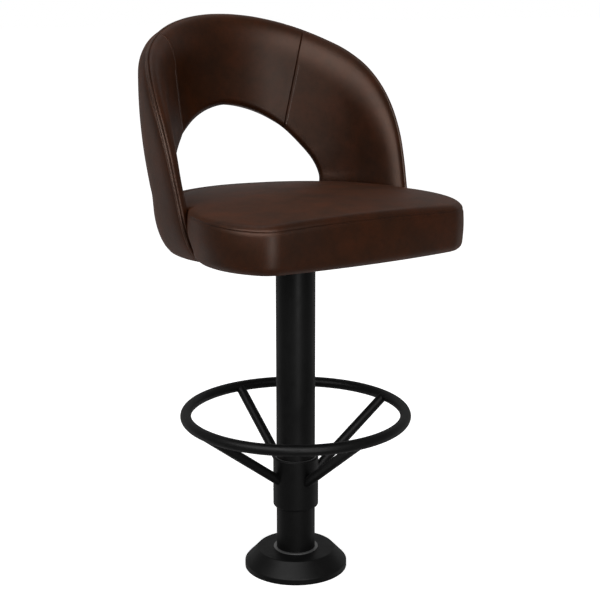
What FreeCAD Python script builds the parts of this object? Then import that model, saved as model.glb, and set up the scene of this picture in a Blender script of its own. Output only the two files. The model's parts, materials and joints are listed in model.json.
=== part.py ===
import FreeCAD, Part
import math
import os

V = FreeCAD.Vector

# Swivel bar stool: floor base, round column, foot ring on a sliding hub, swivel, upholstered seat
# and a wrap-round back with an arched opening behind the seat.
# Millimetres, +Z up, origin on the floor at the column's axis. The seat faces -Y, +X is to its right
# as the front view shows it.

# Floor base and column
COLUMN_R = 38.1
COLUMN_WALL = 3.2
FLANGE_R = 89.0
FLANGE_T = 6.4
ANCHOR_PCD = 144.0
ANCHOR_COUNT = 4
ANCHOR_HOLE_R = 5.5
COVER_R = 101.6
COVER_TOP_R = 76.2
COVER_H = 38.1
COVER_BAND_H = 11.2
COVER_EDGE_R = 2.5
COVER_WALL = 2.0
COVER_BORE_R = 41.0
LINER_GAP = 0.08
LINER_LIP_R = 44.0
LINER_LIP_T = 1.5
LINER_DEPTH = 8.0

# Foot ring
RING_R = 214.9
RING_BAR_R = 10.7
RING_Z = 317.5
HUB_R = 44.6
HUB_Z = 128.4
HUB_H = 101.6
HUB_BORE_R = 40.6
HUB_BOTTOM_ROUND = 4.0
HUB_LIP = 0.5
HUB_TOP_CHAMFER = 1.5
BUSH_H = 22.0
BUSH_GAP = 0.08
STRUT_R = 9.6
STRUT_HUB_Z = 189.2
STRUT_NAMES = ("front", "right", "rear", "left")
SET_SCREW_R = 4.0
SET_SCREW_SOCKET_R = 2.3
SET_SCREW_SOCKET_L = 5.0
SET_SCREW_COUNT = 2
SET_SCREW_RISE = 30.0
SET_SCREW_ANGLE = 45.0
SET_SCREW_PROUD = 1.0
SET_SCREW_TIP_GAP = 0.1

# Swivel between the column's head and the seat board
BOARD_BOTTOM_Z = 657.0
BOARD_T = 18.0
RACE_T = 3.0
BALL_R = 4.0
BALL_COUNT = 24
BALL_TRACK_R = 50.0
BALL_PLAY = 0.05
TRACK_DEPTH = 1.2
CAGE_T = 2.0
CAGE_HALF_W = 6.5
CAGE_PLAY = 0.2
HEAD_T = 6.4
HEAD_R = 82.5
HEAD_HOLE_R = 20.0
RACE_R = 78.0
RACE_BOLT_R = 3.0
RACE_BOLT_PCD = 132.0
RACE_BOLT_HEAD_R = 5.3
RACE_BOLT_HEAD_T = 3.2
RACE_BOLT_END = 1.5
RACE_NUT_AF = 10.0
RACE_NUT_T = 5.0
BOLT_COUNT = 4
BOLT_GAP = 0.3
UPPER_HALF = 84.0
UPPER_CORNER_R = 14.0
SEAT_BOLT_HALF = 66.0
SEAT_BOLT_R = 4.0
SEAT_BOLT_HEAD_AF = 13.0
SEAT_BOLT_HEAD_T = 5.3
SEAT_BOLT_L = 20.0
TEE_BARREL_R = 5.2
TEE_FLANGE_R = 11.0
TEE_FLANGE_T = 1.5
TEE_LENGTH = 12.0
PIVOT_R = 8.0
PIVOT_GAP = 0.08
PIVOT_HEAD_AF = 24.0
PIVOT_HEAD_T = 8.0
PIVOT_WASHER_R = 15.0
PIVOT_WASHER_T = 2.0
PIVOT_NUT_T = 8.0
PIVOT_END = 2.0
PIVOT_AXIAL_GAP = 0.1
BOARD_HOLE_R = 24.0
DUST_T = 1.0
DUST_HOLE_HALF = 90.0

# Seat cushion in plan: a gently bowed front, round corners, bulging sides and a round rear
SEAT_FRONT_Y = 255.0
SEAT_FRONT_R = 1500.0
SEAT_CORNER_R = 58.0
SEAT_CORNER_MIN = 6.0
SEAT_SIDE_R = 180.5
SEAT_SIDE_X = 84.0
SEAT_SIDE_Y = -108.5
SEAT_NOTCH_R = 12.0
SEAT_TOP_Z = 760.0
SEAT_CREASE_Z = 736.0
SEAT_CREASE_DEPTH = 4.0
SEAT_CREASE_ROOM = 8.0
SEAT_BOTTOM_ROUND = 17.0
SEAT_BOTTOM_STEPS = (0.0, 30.0, 60.0, 90.0)
SEAT_DOME_R = 2270.0
SEAT_DOME_Y = -60.0
SEAT_SIDE_TUCK = 14.0
SEAT_TUCK_MID_SHARE = 0.25
SEAT_SIDE_BULGE = 1.5
SEAT_REAR_TUCK = 9.0
SEAT_REAR_TUCK_MID = 1.0
SEAT_REAR_GAP = 0.9
SEAT_WING_GAP = 0.3
SEAT_WING_STEPS = 2
# Rise above the crease and inset of each ring of the crown
SEAT_CROWN_STEPS = ((1.0, 2.2), (2.5, 1.0), (5.0, 1.2), (8.0, 3.5), (10.5, 7.0), (12.5, 11.5), (14.5, 18.0),
                    (32.0, 90.0))
BOARD_INSET = 22.0
BOARD_NOTCH_IN = 46.0
BOARD_NOTCH_W = 60.0
BOARD_NOTCH_Y0 = -60.0
BOARD_NOTCH_Y1 = 26.0
DUST_INSET = 3.0
DUST_REAR_INSET = 6.0

# Back shell: round in plan, its foot curled in under the seat
SHELL_SEAT_Z = 742.0
SHELL_R = 257.0
SHELL_CY = 18.0
SHELL_UPPER_STEP = 4.0
SHELL_UPPER_CY = 30.0
SHELL_BLEND_H = 110.0
CURL_IN = 45.0
CURL_DOWN = 100.0
CURL_ANGLE = 66.0
RIM_FOOT_Y = -7.0
RIM_LEAN = 16.2
RIM_FOOT_BEND = 0.0013
RIM_BEND_R = 325.0
RIM_TOP_SLOPE = 28.7
RIM_TOP_Z = 1071.0
ARCH_HALF_W = 191.0
ARCH_TOP_Z = 896.0
ARCH_POWER = 1.85
ARCH_FOOT_RISE = 6.0
SECTION_SAG = 4.0
SEAM_RIM_ANGLE = 40.0
SEAM_ARCH_X = 136.0

# Back shell layers, as depths inward from the line of the piping
BULGE_FOOT = 1.0
BULGE_TOP = 23.0
BULGE_FULL_Z = 950.0
BULGE_POWER = 2.2
OUTER_ROLL_RIM = 28.0
OUTER_ROLL_ARCH = 20.0
OUTER_CROWN = 1.5
COVER_SKIN = 4.0
COVER_LIP = 0.6
LAYER_GAP = 0.4
FACING_GAP = 0.9
STRIP_GAP = 1.0
LINING_SIDE_GAP = 0.8
BAND_SIDE_GAP = 0.12
CORE_T = 9.0
CORE_EDGE = 10.0
CORE_ARCH_GAP = 1.0
PAD_DEPTH = 34.5
PAD_UPPER_DEPTH = 39.0
PAD_UPPER_FROM_Z = 755.0
PAD_UPPER_TO_Z = 850.0
PAD_FOOT_DEPTH = 17.0
PAD_CROWN = 2.0
PAD_CROWN_SPAN = 150.0
PAD_LIP_GAP = 0.6
PAD_NOSE_OUT = 6.8
PAD_NOSE_DEPTH = 9.5
PAD_NOSE_FOOT_DEPTH = 6.8
PAD_ROLL = 45.0
PAD_ROLL_POWER = 2.4
PAD_ROLL_SHARE = 0.45
PAD_ROLL_MIDDLE = 40.0
PAD_ARCH_ROUND = 15.0
PAD_ARCH_SHARE = 0.72
FACING_W = 3.7
FACING_FROM = 1.0
FACING_TO = 20.0
WELT_R = 3.1
WELT_OUT = 3.7
WELT_DEPTH = 2.2
PAD_STRIP_W = 34.0

# Screws from the back shell into the seat board
SHELL_SCREW_R = 2.2
SHELL_SCREW_L = 40.0
SHELL_SCREW_HEAD_R = 4.2
SHELL_SCREW_HEAD_T = 2.4
SHELL_SCREW_RISE = 8.0
SHELL_SCREW_GAP = 0.2
SHELL_SCREW_CLEAR = 12.0
SHELL_SCREW_ANGLES = (-75.0, -50.0, -25.0, 0.0, 25.0, 50.0, 75.0)

# Clearance of screws and pins in their holes, and how far a cutting tool reaches past the solid it cuts
FIT = 0.05
OVERCUT = 1.0
UP = V(0, 0, 1)

# Derived sizes
SHELL_UPPER_R = SHELL_R + SHELL_UPPER_STEP
BOARD_NOTCH_X = SHELL_R - BOARD_NOTCH_IN
BALL_TRACK_GAP = 2 * (BALL_R + BALL_PLAY - TRACK_DEPTH)
UPPER_RACE_Z = BOARD_BOTTOM_Z - RACE_T
LOWER_RACE_TOP_Z = UPPER_RACE_Z - BALL_TRACK_GAP
LOWER_RACE_Z = LOWER_RACE_TOP_Z - RACE_T
HEAD_Z = LOWER_RACE_Z - HEAD_T
BALL_Z = 0.5 * (LOWER_RACE_TOP_Z + UPPER_RACE_Z)
BOARD_TOP_Z = BOARD_BOTTOM_Z + BOARD_T
COVER_BACK = COVER_SKIN + LAYER_GAP
CORE_BACK = COVER_BACK + CORE_T
PAD_FRONT = CORE_BACK + LAYER_GAP


# Small helpers
def polar(radius, degrees, z=0.0):
    a = math.radians(degrees)
    return V(radius * math.cos(a), radius * math.sin(a), z)


def cylinder(radius, z0, z1, x=0.0, y=0.0):
    return Part.makeCylinder(radius, z1 - z0, V(x, y, z0), UP)


def tube(outer, inner, z0, z1, x=0.0, y=0.0):
    return cylinder(outer, z0, z1, x, y).cut(cylinder(inner, z0 - OVERCUT, z1 + OVERCUT, x, y))


def hexagon(across_flats, z0, z1, x=0.0, y=0.0):
    r = across_flats / math.sqrt(3.0)
    points = [V(x, y, z0) + polar(r, 60 * k) for k in range(7)]
    return Part.Face(Part.makePolygon(points)).extrude(V(0, 0, z1 - z0))


def line(a, b):
    return Part.LineSegment(a, b).toShape()


def arc(a, m, b):
    return Part.Arc(a, m, b).toShape()


def revolved(points):
    """Solid of revolution about Z from (radius, height) corners."""
    wire = Part.makePolygon([V(r, 0, z) for r, z in points + points[:1]])
    return Part.Face(wire).revolve(V(0, 0, 0), UP, 360)


def ring_places(radius, count, start=0.0):
    return [polar(radius, start + 360.0 * k / count) for k in range(count)]


def cut_all(shape, tools):
    for tool in tools:
        shape = shape.cut(tool)
    return shape


parts = {}


def add(name, shape):
    parts[name] = shape


# Floor base
def floor_base():
    places = ring_places(ANCHOR_PCD / 2, ANCHOR_COUNT, 45.0)
    holes = [cylinder(ANCHOR_HOLE_R, -OVERCUT, FLANGE_T + OVERCUT, p.x, p.y) for p in places]
    add("floor_flange", cut_all(cylinder(FLANGE_R, 0, FLANGE_T), holes))
    add("column", tube(COLUMN_R, COLUMN_R - COLUMN_WALL, FLANGE_T, HEAD_Z))


def base_cover():
    shoulder = math.hypot(COVER_R - COVER_TOP_R, COVER_H - COVER_BAND_H)
    run = (COVER_R - COVER_TOP_R) / shoulder
    rise = (COVER_H - COVER_BAND_H) / shoulder
    w = COVER_WALL
    half_turn = math.tan(0.5 * math.atan2(rise, run))
    band_inner = COVER_BAND_H - w * math.tan(0.5 * math.atan2(run, rise))
    outer = [(COVER_R, 0), (COVER_R, COVER_BAND_H), (COVER_TOP_R, COVER_H), (COVER_BORE_R, COVER_H)]
    inner = [(COVER_BORE_R, COVER_H - w), (COVER_TOP_R - w * half_turn, COVER_H - w),
             (COVER_R - w, band_inner), (COVER_R - w, 0)]
    shell = revolved(outer + inner)
    round_edges = []
    for edge in shell.Edges:
        box = edge.BoundBox
        flat = box.ZLength < 0.01
        outside = abs(box.XMax - COVER_R) < 0.01 and abs(box.ZMax - COVER_BAND_H) < 0.01
        brow = abs(box.XMax - COVER_TOP_R) < 0.01 and abs(box.ZMax - COVER_H) < 0.01
        if flat and (outside or brow):
            round_edges.append(edge)
    add("base_cover", shell.makeFillet(COVER_EDGE_R, round_edges))
    bore = COLUMN_R + LINER_GAP
    low = COVER_H - w - LINER_DEPTH
    lip = [(bore, low), (COVER_BORE_R, low), (COVER_BORE_R, COVER_H), (LINER_LIP_R, COVER_H),
           (LINER_LIP_R, COVER_H + LINER_LIP_T), (bore, COVER_H + LINER_LIP_T)]
    add("cover_liner", revolved(lip))


# Foot ring
def set_screw_places():
    z = HUB_Z + SET_SCREW_RISE
    angles = [SET_SCREW_ANGLE + 90.0 * k for k in range(SET_SCREW_COUNT)]
    return [(a, z) for a in angles]


def radial_rod(radius, r0, r1, degrees, z):
    start = polar(r0, degrees, z)
    return Part.makeCylinder(radius, r1 - r0, start, polar(1.0, degrees))


def foot_ring():
    top = HUB_Z + HUB_H
    hub = tube(HUB_R, HUB_BORE_R, HUB_Z, top)
    outside = [e for e in hub.Edges if e.BoundBox.XMax > HUB_R - 0.1]
    bottom_edge = [e for e in outside if abs(e.BoundBox.ZMax - HUB_Z) < 0.01]
    hub = hub.makeFillet(min(HUB_BOTTOM_ROUND, HUB_R - HUB_BORE_R - HUB_LIP), bottom_edge)
    outside = [e for e in hub.Edges if e.BoundBox.XMax > HUB_R - 0.1]
    top_edge = [e for e in outside if abs(e.BoundBox.ZMin - top) < 0.01]
    hub = hub.makeChamfer(HUB_TOP_CHAMFER, top_edge)
    places = set_screw_places()
    outer_r = HUB_R + SET_SCREW_SOCKET_L
    holes = [radial_rod(SET_SCREW_R + FIT, COLUMN_R - OVERCUT, outer_r, a, z) for a, z in places]
    add("ring_hub", cut_all(hub, holes))
    for name, z0 in (("hub_bush_lower", HUB_Z), ("hub_bush_upper", top - BUSH_H)):
        bush = tube(HUB_BORE_R, COLUMN_R + BUSH_GAP, z0, z0 + BUSH_H)
        add(name, cut_all(bush, holes))
    screws = []
    for a, z in places:
        screw = radial_rod(SET_SCREW_R, COLUMN_R + SET_SCREW_TIP_GAP, HUB_R + SET_SCREW_PROUD, a, z)
        socket = radial_rod(SET_SCREW_SOCKET_R, HUB_R - 0.5 * SET_SCREW_SOCKET_L, outer_r, a, z)
        screws.append(screw.cut(socket))
    add("hub_set_screws", Part.makeCompound(screws))
    ring = Part.makeTorus(RING_R, RING_BAR_R, V(0, 0, RING_Z), UP)
    add("foot_ring", ring)
    inner_core = cylinder(HUB_R, HUB_Z - HUB_H, top + HUB_H)
    for k, name in enumerate(STRUT_NAMES):
        angle = -90.0 + 90.0 * k
        slope = (RING_Z - STRUT_HUB_Z) / (RING_R - HUB_R)
        start = polar(HUB_BORE_R, angle, STRUT_HUB_Z - slope * (HUB_R - HUB_BORE_R))
        end = polar(RING_R, angle, RING_Z)
        axis = end.sub(start)
        bar = Part.makeCylinder(STRUT_R, axis.Length, start, axis)
        add("strut_" + name, bar.cut(inner_core).cut(ring))


# Swivel
def rounded_square(half, corner, z0, z1):
    box = Part.makeBox(2 * half, 2 * half, z1 - z0, V(-half, -half, z0))
    uprights = [e for e in box.Edges if e.BoundBox.ZLength > 0.5 * (z1 - z0)]
    return box.makeFillet(corner, uprights)


def track():
    return Part.makeTorus(BALL_TRACK_R, BALL_R + BALL_PLAY, V(0, 0, BALL_Z), UP)


def square_places():
    h = SEAT_BOLT_HALF
    return [V(sx * h, sy * h, 0) for sx in (-1, 1) for sy in (-1, 1)]


def swivel():
    bolts = ring_places(RACE_BOLT_PCD / 2, BOLT_COUNT, 45.0)
    hole = RACE_BOLT_R + BOLT_GAP
    holes = [cylinder(hole, HEAD_Z - OVERCUT, LOWER_RACE_TOP_Z + OVERCUT, p.x, p.y) for p in bolts]
    add("head_plate", cut_all(tube(HEAD_R, HEAD_HOLE_R, HEAD_Z, LOWER_RACE_Z), holes))
    lower = tube(RACE_R, PIVOT_R + FIT, LOWER_RACE_Z, LOWER_RACE_TOP_Z).cut(track())
    add("swivel_lower_race", cut_all(lower, holes))
    screws = []
    nuts = []
    for p in bolts:
        nut_z = HEAD_Z - RACE_NUT_T
        shank = cylinder(RACE_BOLT_R, nut_z - RACE_BOLT_END, LOWER_RACE_TOP_Z + RACE_BOLT_HEAD_T, p.x, p.y)
        cap = cylinder(RACE_BOLT_HEAD_R, LOWER_RACE_TOP_Z, LOWER_RACE_TOP_Z + RACE_BOLT_HEAD_T, p.x, p.y)
        screws.append(shank.fuse(cap).removeSplitter())
        nut = hexagon(RACE_NUT_AF, nut_z, HEAD_Z, p.x, p.y)
        nuts.append(nut.cut(cylinder(RACE_BOLT_R + FIT, nut_z - OVERCUT, HEAD_Z + OVERCUT, p.x, p.y)))
    add("race_bolts", Part.makeCompound(screws))
    add("race_nuts", Part.makeCompound(nuts))
    places = ring_places(BALL_TRACK_R, BALL_COUNT)
    balls = [Part.makeSphere(BALL_R, V(p.x, p.y, BALL_Z)) for p in places]
    add("swivel_balls", Part.makeCompound(balls))
    half_t = 0.5 * CAGE_T
    cage = tube(BALL_TRACK_R + CAGE_HALF_W, BALL_TRACK_R - CAGE_HALF_W, BALL_Z - half_t, BALL_Z + half_t)
    pockets = [cylinder(BALL_R + CAGE_PLAY, BALL_Z - BALL_R, BALL_Z + BALL_R, p.x, p.y) for p in places]
    add("ball_cage", cut_all(cage, pockets))
    upper = rounded_square(UPPER_HALF, UPPER_CORNER_R, UPPER_RACE_Z, BOARD_BOTTOM_Z)
    bore = cylinder(PIVOT_R + PIVOT_GAP, UPPER_RACE_Z - OVERCUT, BOARD_BOTTOM_Z + OVERCUT)
    upper = upper.cut(bore).cut(track())
    seat_holes = [cylinder(SEAT_BOLT_R + BOLT_GAP, UPPER_RACE_Z - OVERCUT, BOARD_BOTTOM_Z + OVERCUT, p.x, p.y)
                  for p in square_places()]
    add("swivel_upper_race", cut_all(upper, seat_holes))
    washer_z = BOARD_BOTTOM_Z + PIVOT_AXIAL_GAP
    nut_z = washer_z + PIVOT_WASHER_T
    shank = cylinder(PIVOT_R, LOWER_RACE_Z - OVERCUT, nut_z + PIVOT_NUT_T + PIVOT_END)
    pivot_head = hexagon(PIVOT_HEAD_AF, LOWER_RACE_Z - PIVOT_HEAD_T, LOWER_RACE_Z)
    add("pivot_bolt", shank.fuse(pivot_head).removeSplitter())
    add("pivot_washer", tube(PIVOT_WASHER_R, PIVOT_R + FIT, washer_z, nut_z))
    nut = hexagon(PIVOT_HEAD_AF, nut_z, nut_z + PIVOT_NUT_T)
    add("pivot_nut", nut.cut(cylinder(PIVOT_R + FIT, nut_z - OVERCUT, nut_z + PIVOT_NUT_T + OVERCUT)))
    bolts = []
    tees = []
    for p in square_places():
        head_z = UPPER_RACE_Z - SEAT_BOLT_HEAD_T
        shank = cylinder(SEAT_BOLT_R, UPPER_RACE_Z - OVERCUT, UPPER_RACE_Z + SEAT_BOLT_L, p.x, p.y)
        cap = hexagon(SEAT_BOLT_HEAD_AF, head_z, UPPER_RACE_Z, p.x, p.y)
        bolts.append(shank.fuse(cap).removeSplitter())
        barrel = cylinder(TEE_BARREL_R, BOARD_TOP_Z - TEE_LENGTH, BOARD_TOP_Z, p.x, p.y)
        plate = cylinder(TEE_FLANGE_R, BOARD_TOP_Z - TEE_FLANGE_T, BOARD_TOP_Z, p.x, p.y)
        bore = cylinder(SEAT_BOLT_R + FIT, BOARD_BOTTOM_Z, BOARD_TOP_Z + OVERCUT, p.x, p.y)
        tees.append(barrel.fuse(plate).removeSplitter().cut(bore))
    add("seat_bolts", Part.makeCompound(bolts))
    add("seat_tee_nuts", Part.makeCompound(tees))


# Back shell geometry
def base_circle(z):
    """Radius and centre Y of the piping's line of the shell at height z."""
    if z >= SHELL_SEAT_Z:
        u = min(1.0, (z - SHELL_SEAT_Z) / SHELL_BLEND_H)
        ease = u * (2.0 - u)
        return SHELL_R + ease * (SHELL_UPPER_R - SHELL_R), SHELL_CY + ease * (SHELL_UPPER_CY - SHELL_CY)
    a = math.asin(min(1.0, (SHELL_SEAT_Z - z) / CURL_DOWN))
    return SHELL_R - CURL_IN * (1.0 - math.cos(a)), SHELL_CY


def rim_profile():
    """The rim from the side is a leaning line, one bend and a flatter line up to the crest."""
    low = V(math.sin(math.radians(RIM_LEAN)), math.cos(math.radians(RIM_LEAN)), 0)
    high = V(math.cos(math.radians(RIM_TOP_SLOPE)), math.sin(math.radians(RIM_TOP_SLOPE)), 0)
    foot = V(RIM_FOOT_Y, SHELL_SEAT_Z, 0)
    crest = V(SHELL_UPPER_CY + SHELL_UPPER_R, RIM_TOP_Z, 0)
    gap = crest.sub(foot)
    cross = low.x * high.y - low.y * high.x
    t = (gap.x * high.y - gap.y * high.x) / cross
    corner = foot.add(low * t)
    turn = math.radians(90.0 - RIM_LEAN - RIM_TOP_SLOPE)
    back = RIM_BEND_R * math.tan(0.5 * turn)
    start = corner.sub(low * back)
    end = corner.add(high * back)
    centre = start.add(V(low.y, -low.x, 0) * RIM_BEND_R)
    return start, end, centre


RIM_START, RIM_END, RIM_CENTRE = rim_profile()


def rim_y(z):
    if z <= RIM_START.y:
        rise = z - SHELL_SEAT_Z
        bend = RIM_FOOT_BEND * min(0.0, rise) ** 2
        return RIM_FOOT_Y + rise * math.tan(math.radians(RIM_LEAN)) + bend
    if z < RIM_END.y:
        return RIM_CENTRE.x - math.sqrt(RIM_BEND_R ** 2 - (z - RIM_CENTRE.y) ** 2)
    return RIM_END.x + (z - RIM_END.y) / math.tan(math.radians(RIM_TOP_SLOPE))


def rim_z(y):
    if y >= RIM_END.x:
        return RIM_END.y + (y - RIM_END.x) * math.tan(math.radians(RIM_TOP_SLOPE))
    return RIM_CENTRE.y + math.sqrt(RIM_BEND_R ** 2 - (RIM_CENTRE.x - y) ** 2)


def rim_at_height(z):
    radius, cy = base_circle(z)
    y = rim_y(z)
    return V(math.sqrt(radius ** 2 - (y - cy) ** 2), y, z)


def rim_at_angle(degrees):
    a = math.radians(degrees)
    y = SHELL_UPPER_CY + SHELL_UPPER_R * math.cos(a)
    return V(SHELL_UPPER_R * math.sin(a), y, rim_z(y))


def arch_at_x(x):
    share = 1.0 - (x / ARCH_HALF_W) ** ARCH_POWER
    z = SHELL_SEAT_Z + (ARCH_TOP_Z - SHELL_SEAT_Z) * max(0.0, share) ** (1.0 / ARCH_POWER)
    radius, cy = base_circle(z)
    return V(x, cy + math.sqrt(radius ** 2 - x ** 2), z)


def arch_at_height(z):
    share = 1.0 - ((z - SHELL_SEAT_Z) / (ARCH_TOP_Z - SHELL_SEAT_Z)) ** ARCH_POWER
    return arch_at_x(ARCH_HALF_W * share ** (1.0 / ARCH_POWER))


ARCH_FOOT_ANGLE = math.degrees(math.asin(ARCH_HALF_W / SHELL_R))


def pad_depth(foot, z):
    """Depth of the padding: thinner to the foot of the curl, where foot is 1, and thicker above the seat."""
    u = min(1.0, max(0.0, (z - PAD_UPPER_FROM_Z) / (PAD_UPPER_TO_Z - PAD_UPPER_FROM_Z)))
    upper = u * u * (3.0 - 2.0 * u) * (PAD_UPPER_DEPTH - PAD_DEPTH)
    return PAD_DEPTH + foot * (PAD_FOOT_DEPTH - PAD_DEPTH) + upper


class Section:
    """One cross-section of the back: w runs from the rim to the opening, t inward from the base line."""

    def __init__(self, rim, arch, sag, foot=None):
        mid = rim.add(arch) * 0.5
        radius, cy = base_circle(mid.z)
        out = V(mid.x, mid.y - cy, 0)
        out.normalize()
        mid = V(0, cy, mid.z).add(out * (radius + sag))
        circle = arc(rim, mid, arch).Curve
        self.centre = circle.Center
        self.radius = circle.Radius
        self.e1 = rim.sub(self.centre) * (1.0 / self.radius)
        to_arch = arch.sub(self.centre) * (1.0 / self.radius)
        dot = max(-1.0, min(1.0, self.e1.dot(to_arch)))
        self.width = self.radius * math.acos(dot)
        self.e2 = to_arch.sub(self.e1 * dot)
        self.e2.normalize()
        level = min(1.0, max(0.0, (mid.z - SHELL_SEAT_Z) / (BULGE_FULL_Z - SHELL_SEAT_Z)))
        self.bulge = BULGE_FOOT + level ** BULGE_POWER * (BULGE_TOP - BULGE_FOOT)
        self.foot = foot
        self.pad = pad_depth(foot or 0.0, mid.z)
        self.nose = PAD_NOSE_DEPTH + (foot or 0.0) * (PAD_NOSE_FOOT_DEPTH - PAD_NOSE_DEPTH)

    def at(self, w, t):
        a = w / self.radius
        return self.centre.add((self.e1 * math.cos(a) + self.e2 * math.sin(a)) * (self.radius - t))

    def arc(self, w0, t0, w1, t1, extra=0.0):
        return arc(self.at(w0, t0), self.at(0.5 * (w0 + w1), 0.5 * (t0 + t1) + extra), self.at(w1, t1))

    def roll(self, w_end, t_end, w_flat, t_flat):
        """Edges that ease from the flat of a face to its end, level where it leaves the flat."""
        dw = w_end - w_flat
        dt = t_end - t_flat
        if abs(dt) < FIT:
            return self.at(0.5 * (w_end + w_flat), 0.5 * (t_end + t_flat))
        r = (dw * dw + dt * dt) / (2.0 * abs(dt))
        half = 0.5 * math.asin(min(1.0, abs(dw) / r))
        return self.at(w_flat + math.copysign(r * math.sin(half), dw),
                       t_flat + math.copysign(r * (1.0 - math.cos(half)), dt))

    def mirrored(self):
        other = Section.__new__(Section)
        other.__dict__.update(self.__dict__)
        other.centre = V(-self.centre.x, self.centre.y, self.centre.z)
        other.e1 = V(-self.e1.x, self.e1.y, self.e1.z)
        other.e2 = V(-self.e2.x, self.e2.y, self.e2.z)
        return other


# Stations of the sections: angles round the curl, shares of the way up the rim and the arch to the seam,
# and shares of the seam's place across the middle
FOOT_STEPS = (66.0, 57.0, 48.0, 39.0, 28.0, 16.0, 5.0)
PAD_STRIP_STEPS = 4
FAN_STEPS = ((0.162, 0.09), (0.332, 0.20), (0.494, 0.32), (0.640, 0.44), (0.765, 0.56), (0.873, 0.70),
             (0.958, 0.85))
CENTRE_STEPS = (0.68, 0.34, 0.0)


def foot_z(step):
    return SHELL_SEAT_Z - CURL_DOWN * math.sin(math.radians(step))


def foot_section(step):
    """A level section below the seat, at this angle round the curl."""
    z = foot_z(step)
    radius, cy = base_circle(z)
    a = math.radians(ARCH_FOOT_ANGLE)
    arch = V(radius * math.sin(a), cy + radius * math.cos(a), z)
    return Section(rim_at_height(z), arch, 0.0, step / CURL_ANGLE)


def right_side_sections():
    z0 = SHELL_SEAT_Z + ARCH_FOOT_RISE
    seam_arch = arch_at_x(SEAM_ARCH_X)
    seam_rim = rim_at_angle(SEAM_RIM_ANGLE)
    fan = [Section(rim_at_height(z0), arch_at_height(z0), 0.0)]
    for rim_share, share in FAN_STEPS:
        rim = rim_at_height(SHELL_SEAT_Z + rim_share * (seam_rim.z - SHELL_SEAT_Z))
        arch = arch_at_height(z0 + share * (seam_arch.z - z0))
        fan.append(Section(rim, arch, SECTION_SAG * share))
    fan.append(Section(seam_rim, seam_arch, SECTION_SAG))
    return [foot_section(s) for s in FOOT_STEPS] + fan


def centre_sections():
    return [Section(rim_at_angle(s * SEAM_RIM_ANGLE), arch_at_x(s * SEAM_ARCH_X), SECTION_SAG)
            for s in CENTRE_STEPS]


SIDE = right_side_sections()
CENTRE = centre_sections()


def whole_row():
    """Every section in order from the right foot over the crest to the left foot."""
    half = SIDE + CENTRE
    return half + [s.mirrored() for s in reversed(half[:-1])]


def loft(wires):
    return Part.makeLoft(wires, True, False)


def outer_wire(s):
    b = s.bulge
    w0 = WELT_R - WELT_OUT + LAYER_GAP
    if s.foot is None:
        w1 = s.width - FACING_W - FACING_GAP
        end_t = COVER_LIP
    else:
        w1 = s.width
        end_t = -b
    rim_flat = OUTER_ROLL_RIM
    arch_flat = s.width - OUTER_ROLL_ARCH
    p = [s.at(w0, COVER_SKIN), s.at(w0, COVER_LIP), s.at(rim_flat, -b), s.at(arch_flat, -b), s.at(w1, end_t),
         s.at(w1, COVER_SKIN)]
    return Part.Wire([
        line(p[0], p[1]),
        arc(p[1], s.roll(w0, COVER_LIP, rim_flat, -b), p[2]),
        s.arc(rim_flat, -b, arch_flat, -b, -OUTER_CROWN),
        arc(p[3], s.roll(w1, end_t, arch_flat, -b), p[4]),
        line(p[4], p[5]),
        s.arc(w1, COVER_SKIN, w0, COVER_SKIN)])


def core_wire(s):
    w0 = CORE_EDGE
    w1 = s.width - FACING_W - CORE_ARCH_GAP
    if s.foot is not None:
        w1 = s.width
    return Part.Wire([
        s.arc(w0, COVER_BACK, w1, COVER_BACK),
        line(s.at(w1, COVER_BACK), s.at(w1, CORE_BACK)),
        s.arc(w1, CORE_BACK, w0, CORE_BACK),
        line(s.at(w0, CORE_BACK), s.at(w0, COVER_BACK))])


def pad_wire(s, strip=False, grow=0.0):
    """Padding in front of the shell: lip at the piping, nose, broad roll, face and the opening's edge.

    The narrow strip of it runs on under the seat, and grow sets its nose, roll and face further out.
    """
    start = WELT_R - WELT_OUT + LAYER_GAP + PAD_LIP_GAP
    inner = CORE_EDGE - LAYER_GAP
    end = s.width - FACING_W - FACING_GAP
    front = PAD_FRONT
    if s.foot is not None:
        end = s.width
    if strip:
        end = PAD_STRIP_W
        front = PAD_FRONT + STRIP_GAP
        inner = inner - STRIP_GAP
    k = math.sqrt(0.5)
    face = s.pad + grow
    nose_out = PAD_NOSE_OUT + grow
    roll = min(PAD_ROLL, PAD_ROLL_SHARE * end + PAD_NOSE_OUT)

    def roll_at(degrees):
        """Point of the broad roll, from the nose at 0 to the start of the face at 90."""
        a = math.radians(degrees)
        power = 2.0 / PAD_ROLL_POWER
        w = roll - (roll + nose_out) * math.cos(a) ** power
        return s.at(w, s.nose + (face - s.nose) * math.sin(a) ** power)

    lip_t = WELT_DEPTH + WELT_R + PAD_LIP_GAP
    lip = s.at(-WELT_OUT, lip_t)
    lip_mid = s.at(-WELT_OUT - (nose_out - WELT_OUT) * k, s.nose - (s.nose - lip_t) * k)
    nose = s.at(-nose_out, s.nose)
    middle = roll_at(PAD_ROLL_MIDDLE)
    round_w = min(PAD_ARCH_ROUND, PAD_ARCH_SHARE * (face - front))
    crown = PAD_CROWN * min(1.0, (end - roll) / PAD_CROWN_SPAN)
    return Part.Wire([
        line(s.at(start, COVER_BACK), lip),
        arc(lip, lip_mid, nose),
        arc(nose, roll_at(0.5 * PAD_ROLL_MIDDLE), middle),
        arc(middle, roll_at(0.5 * (PAD_ROLL_MIDDLE + 90.0)), s.at(roll, face)),
        s.arc(roll, face, end - round_w, face, crown),
        arc(s.at(end - round_w, face), s.at(end - round_w * (1 - k), face - round_w * (1 - k)),
            s.at(end, face - round_w)),
        line(s.at(end, face - round_w), s.at(end, front)),
        s.arc(end, front, inner, front),
        line(s.at(inner, front), s.at(inner, COVER_BACK)),
        line(s.at(inner, COVER_BACK), s.at(start, COVER_BACK))])


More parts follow.
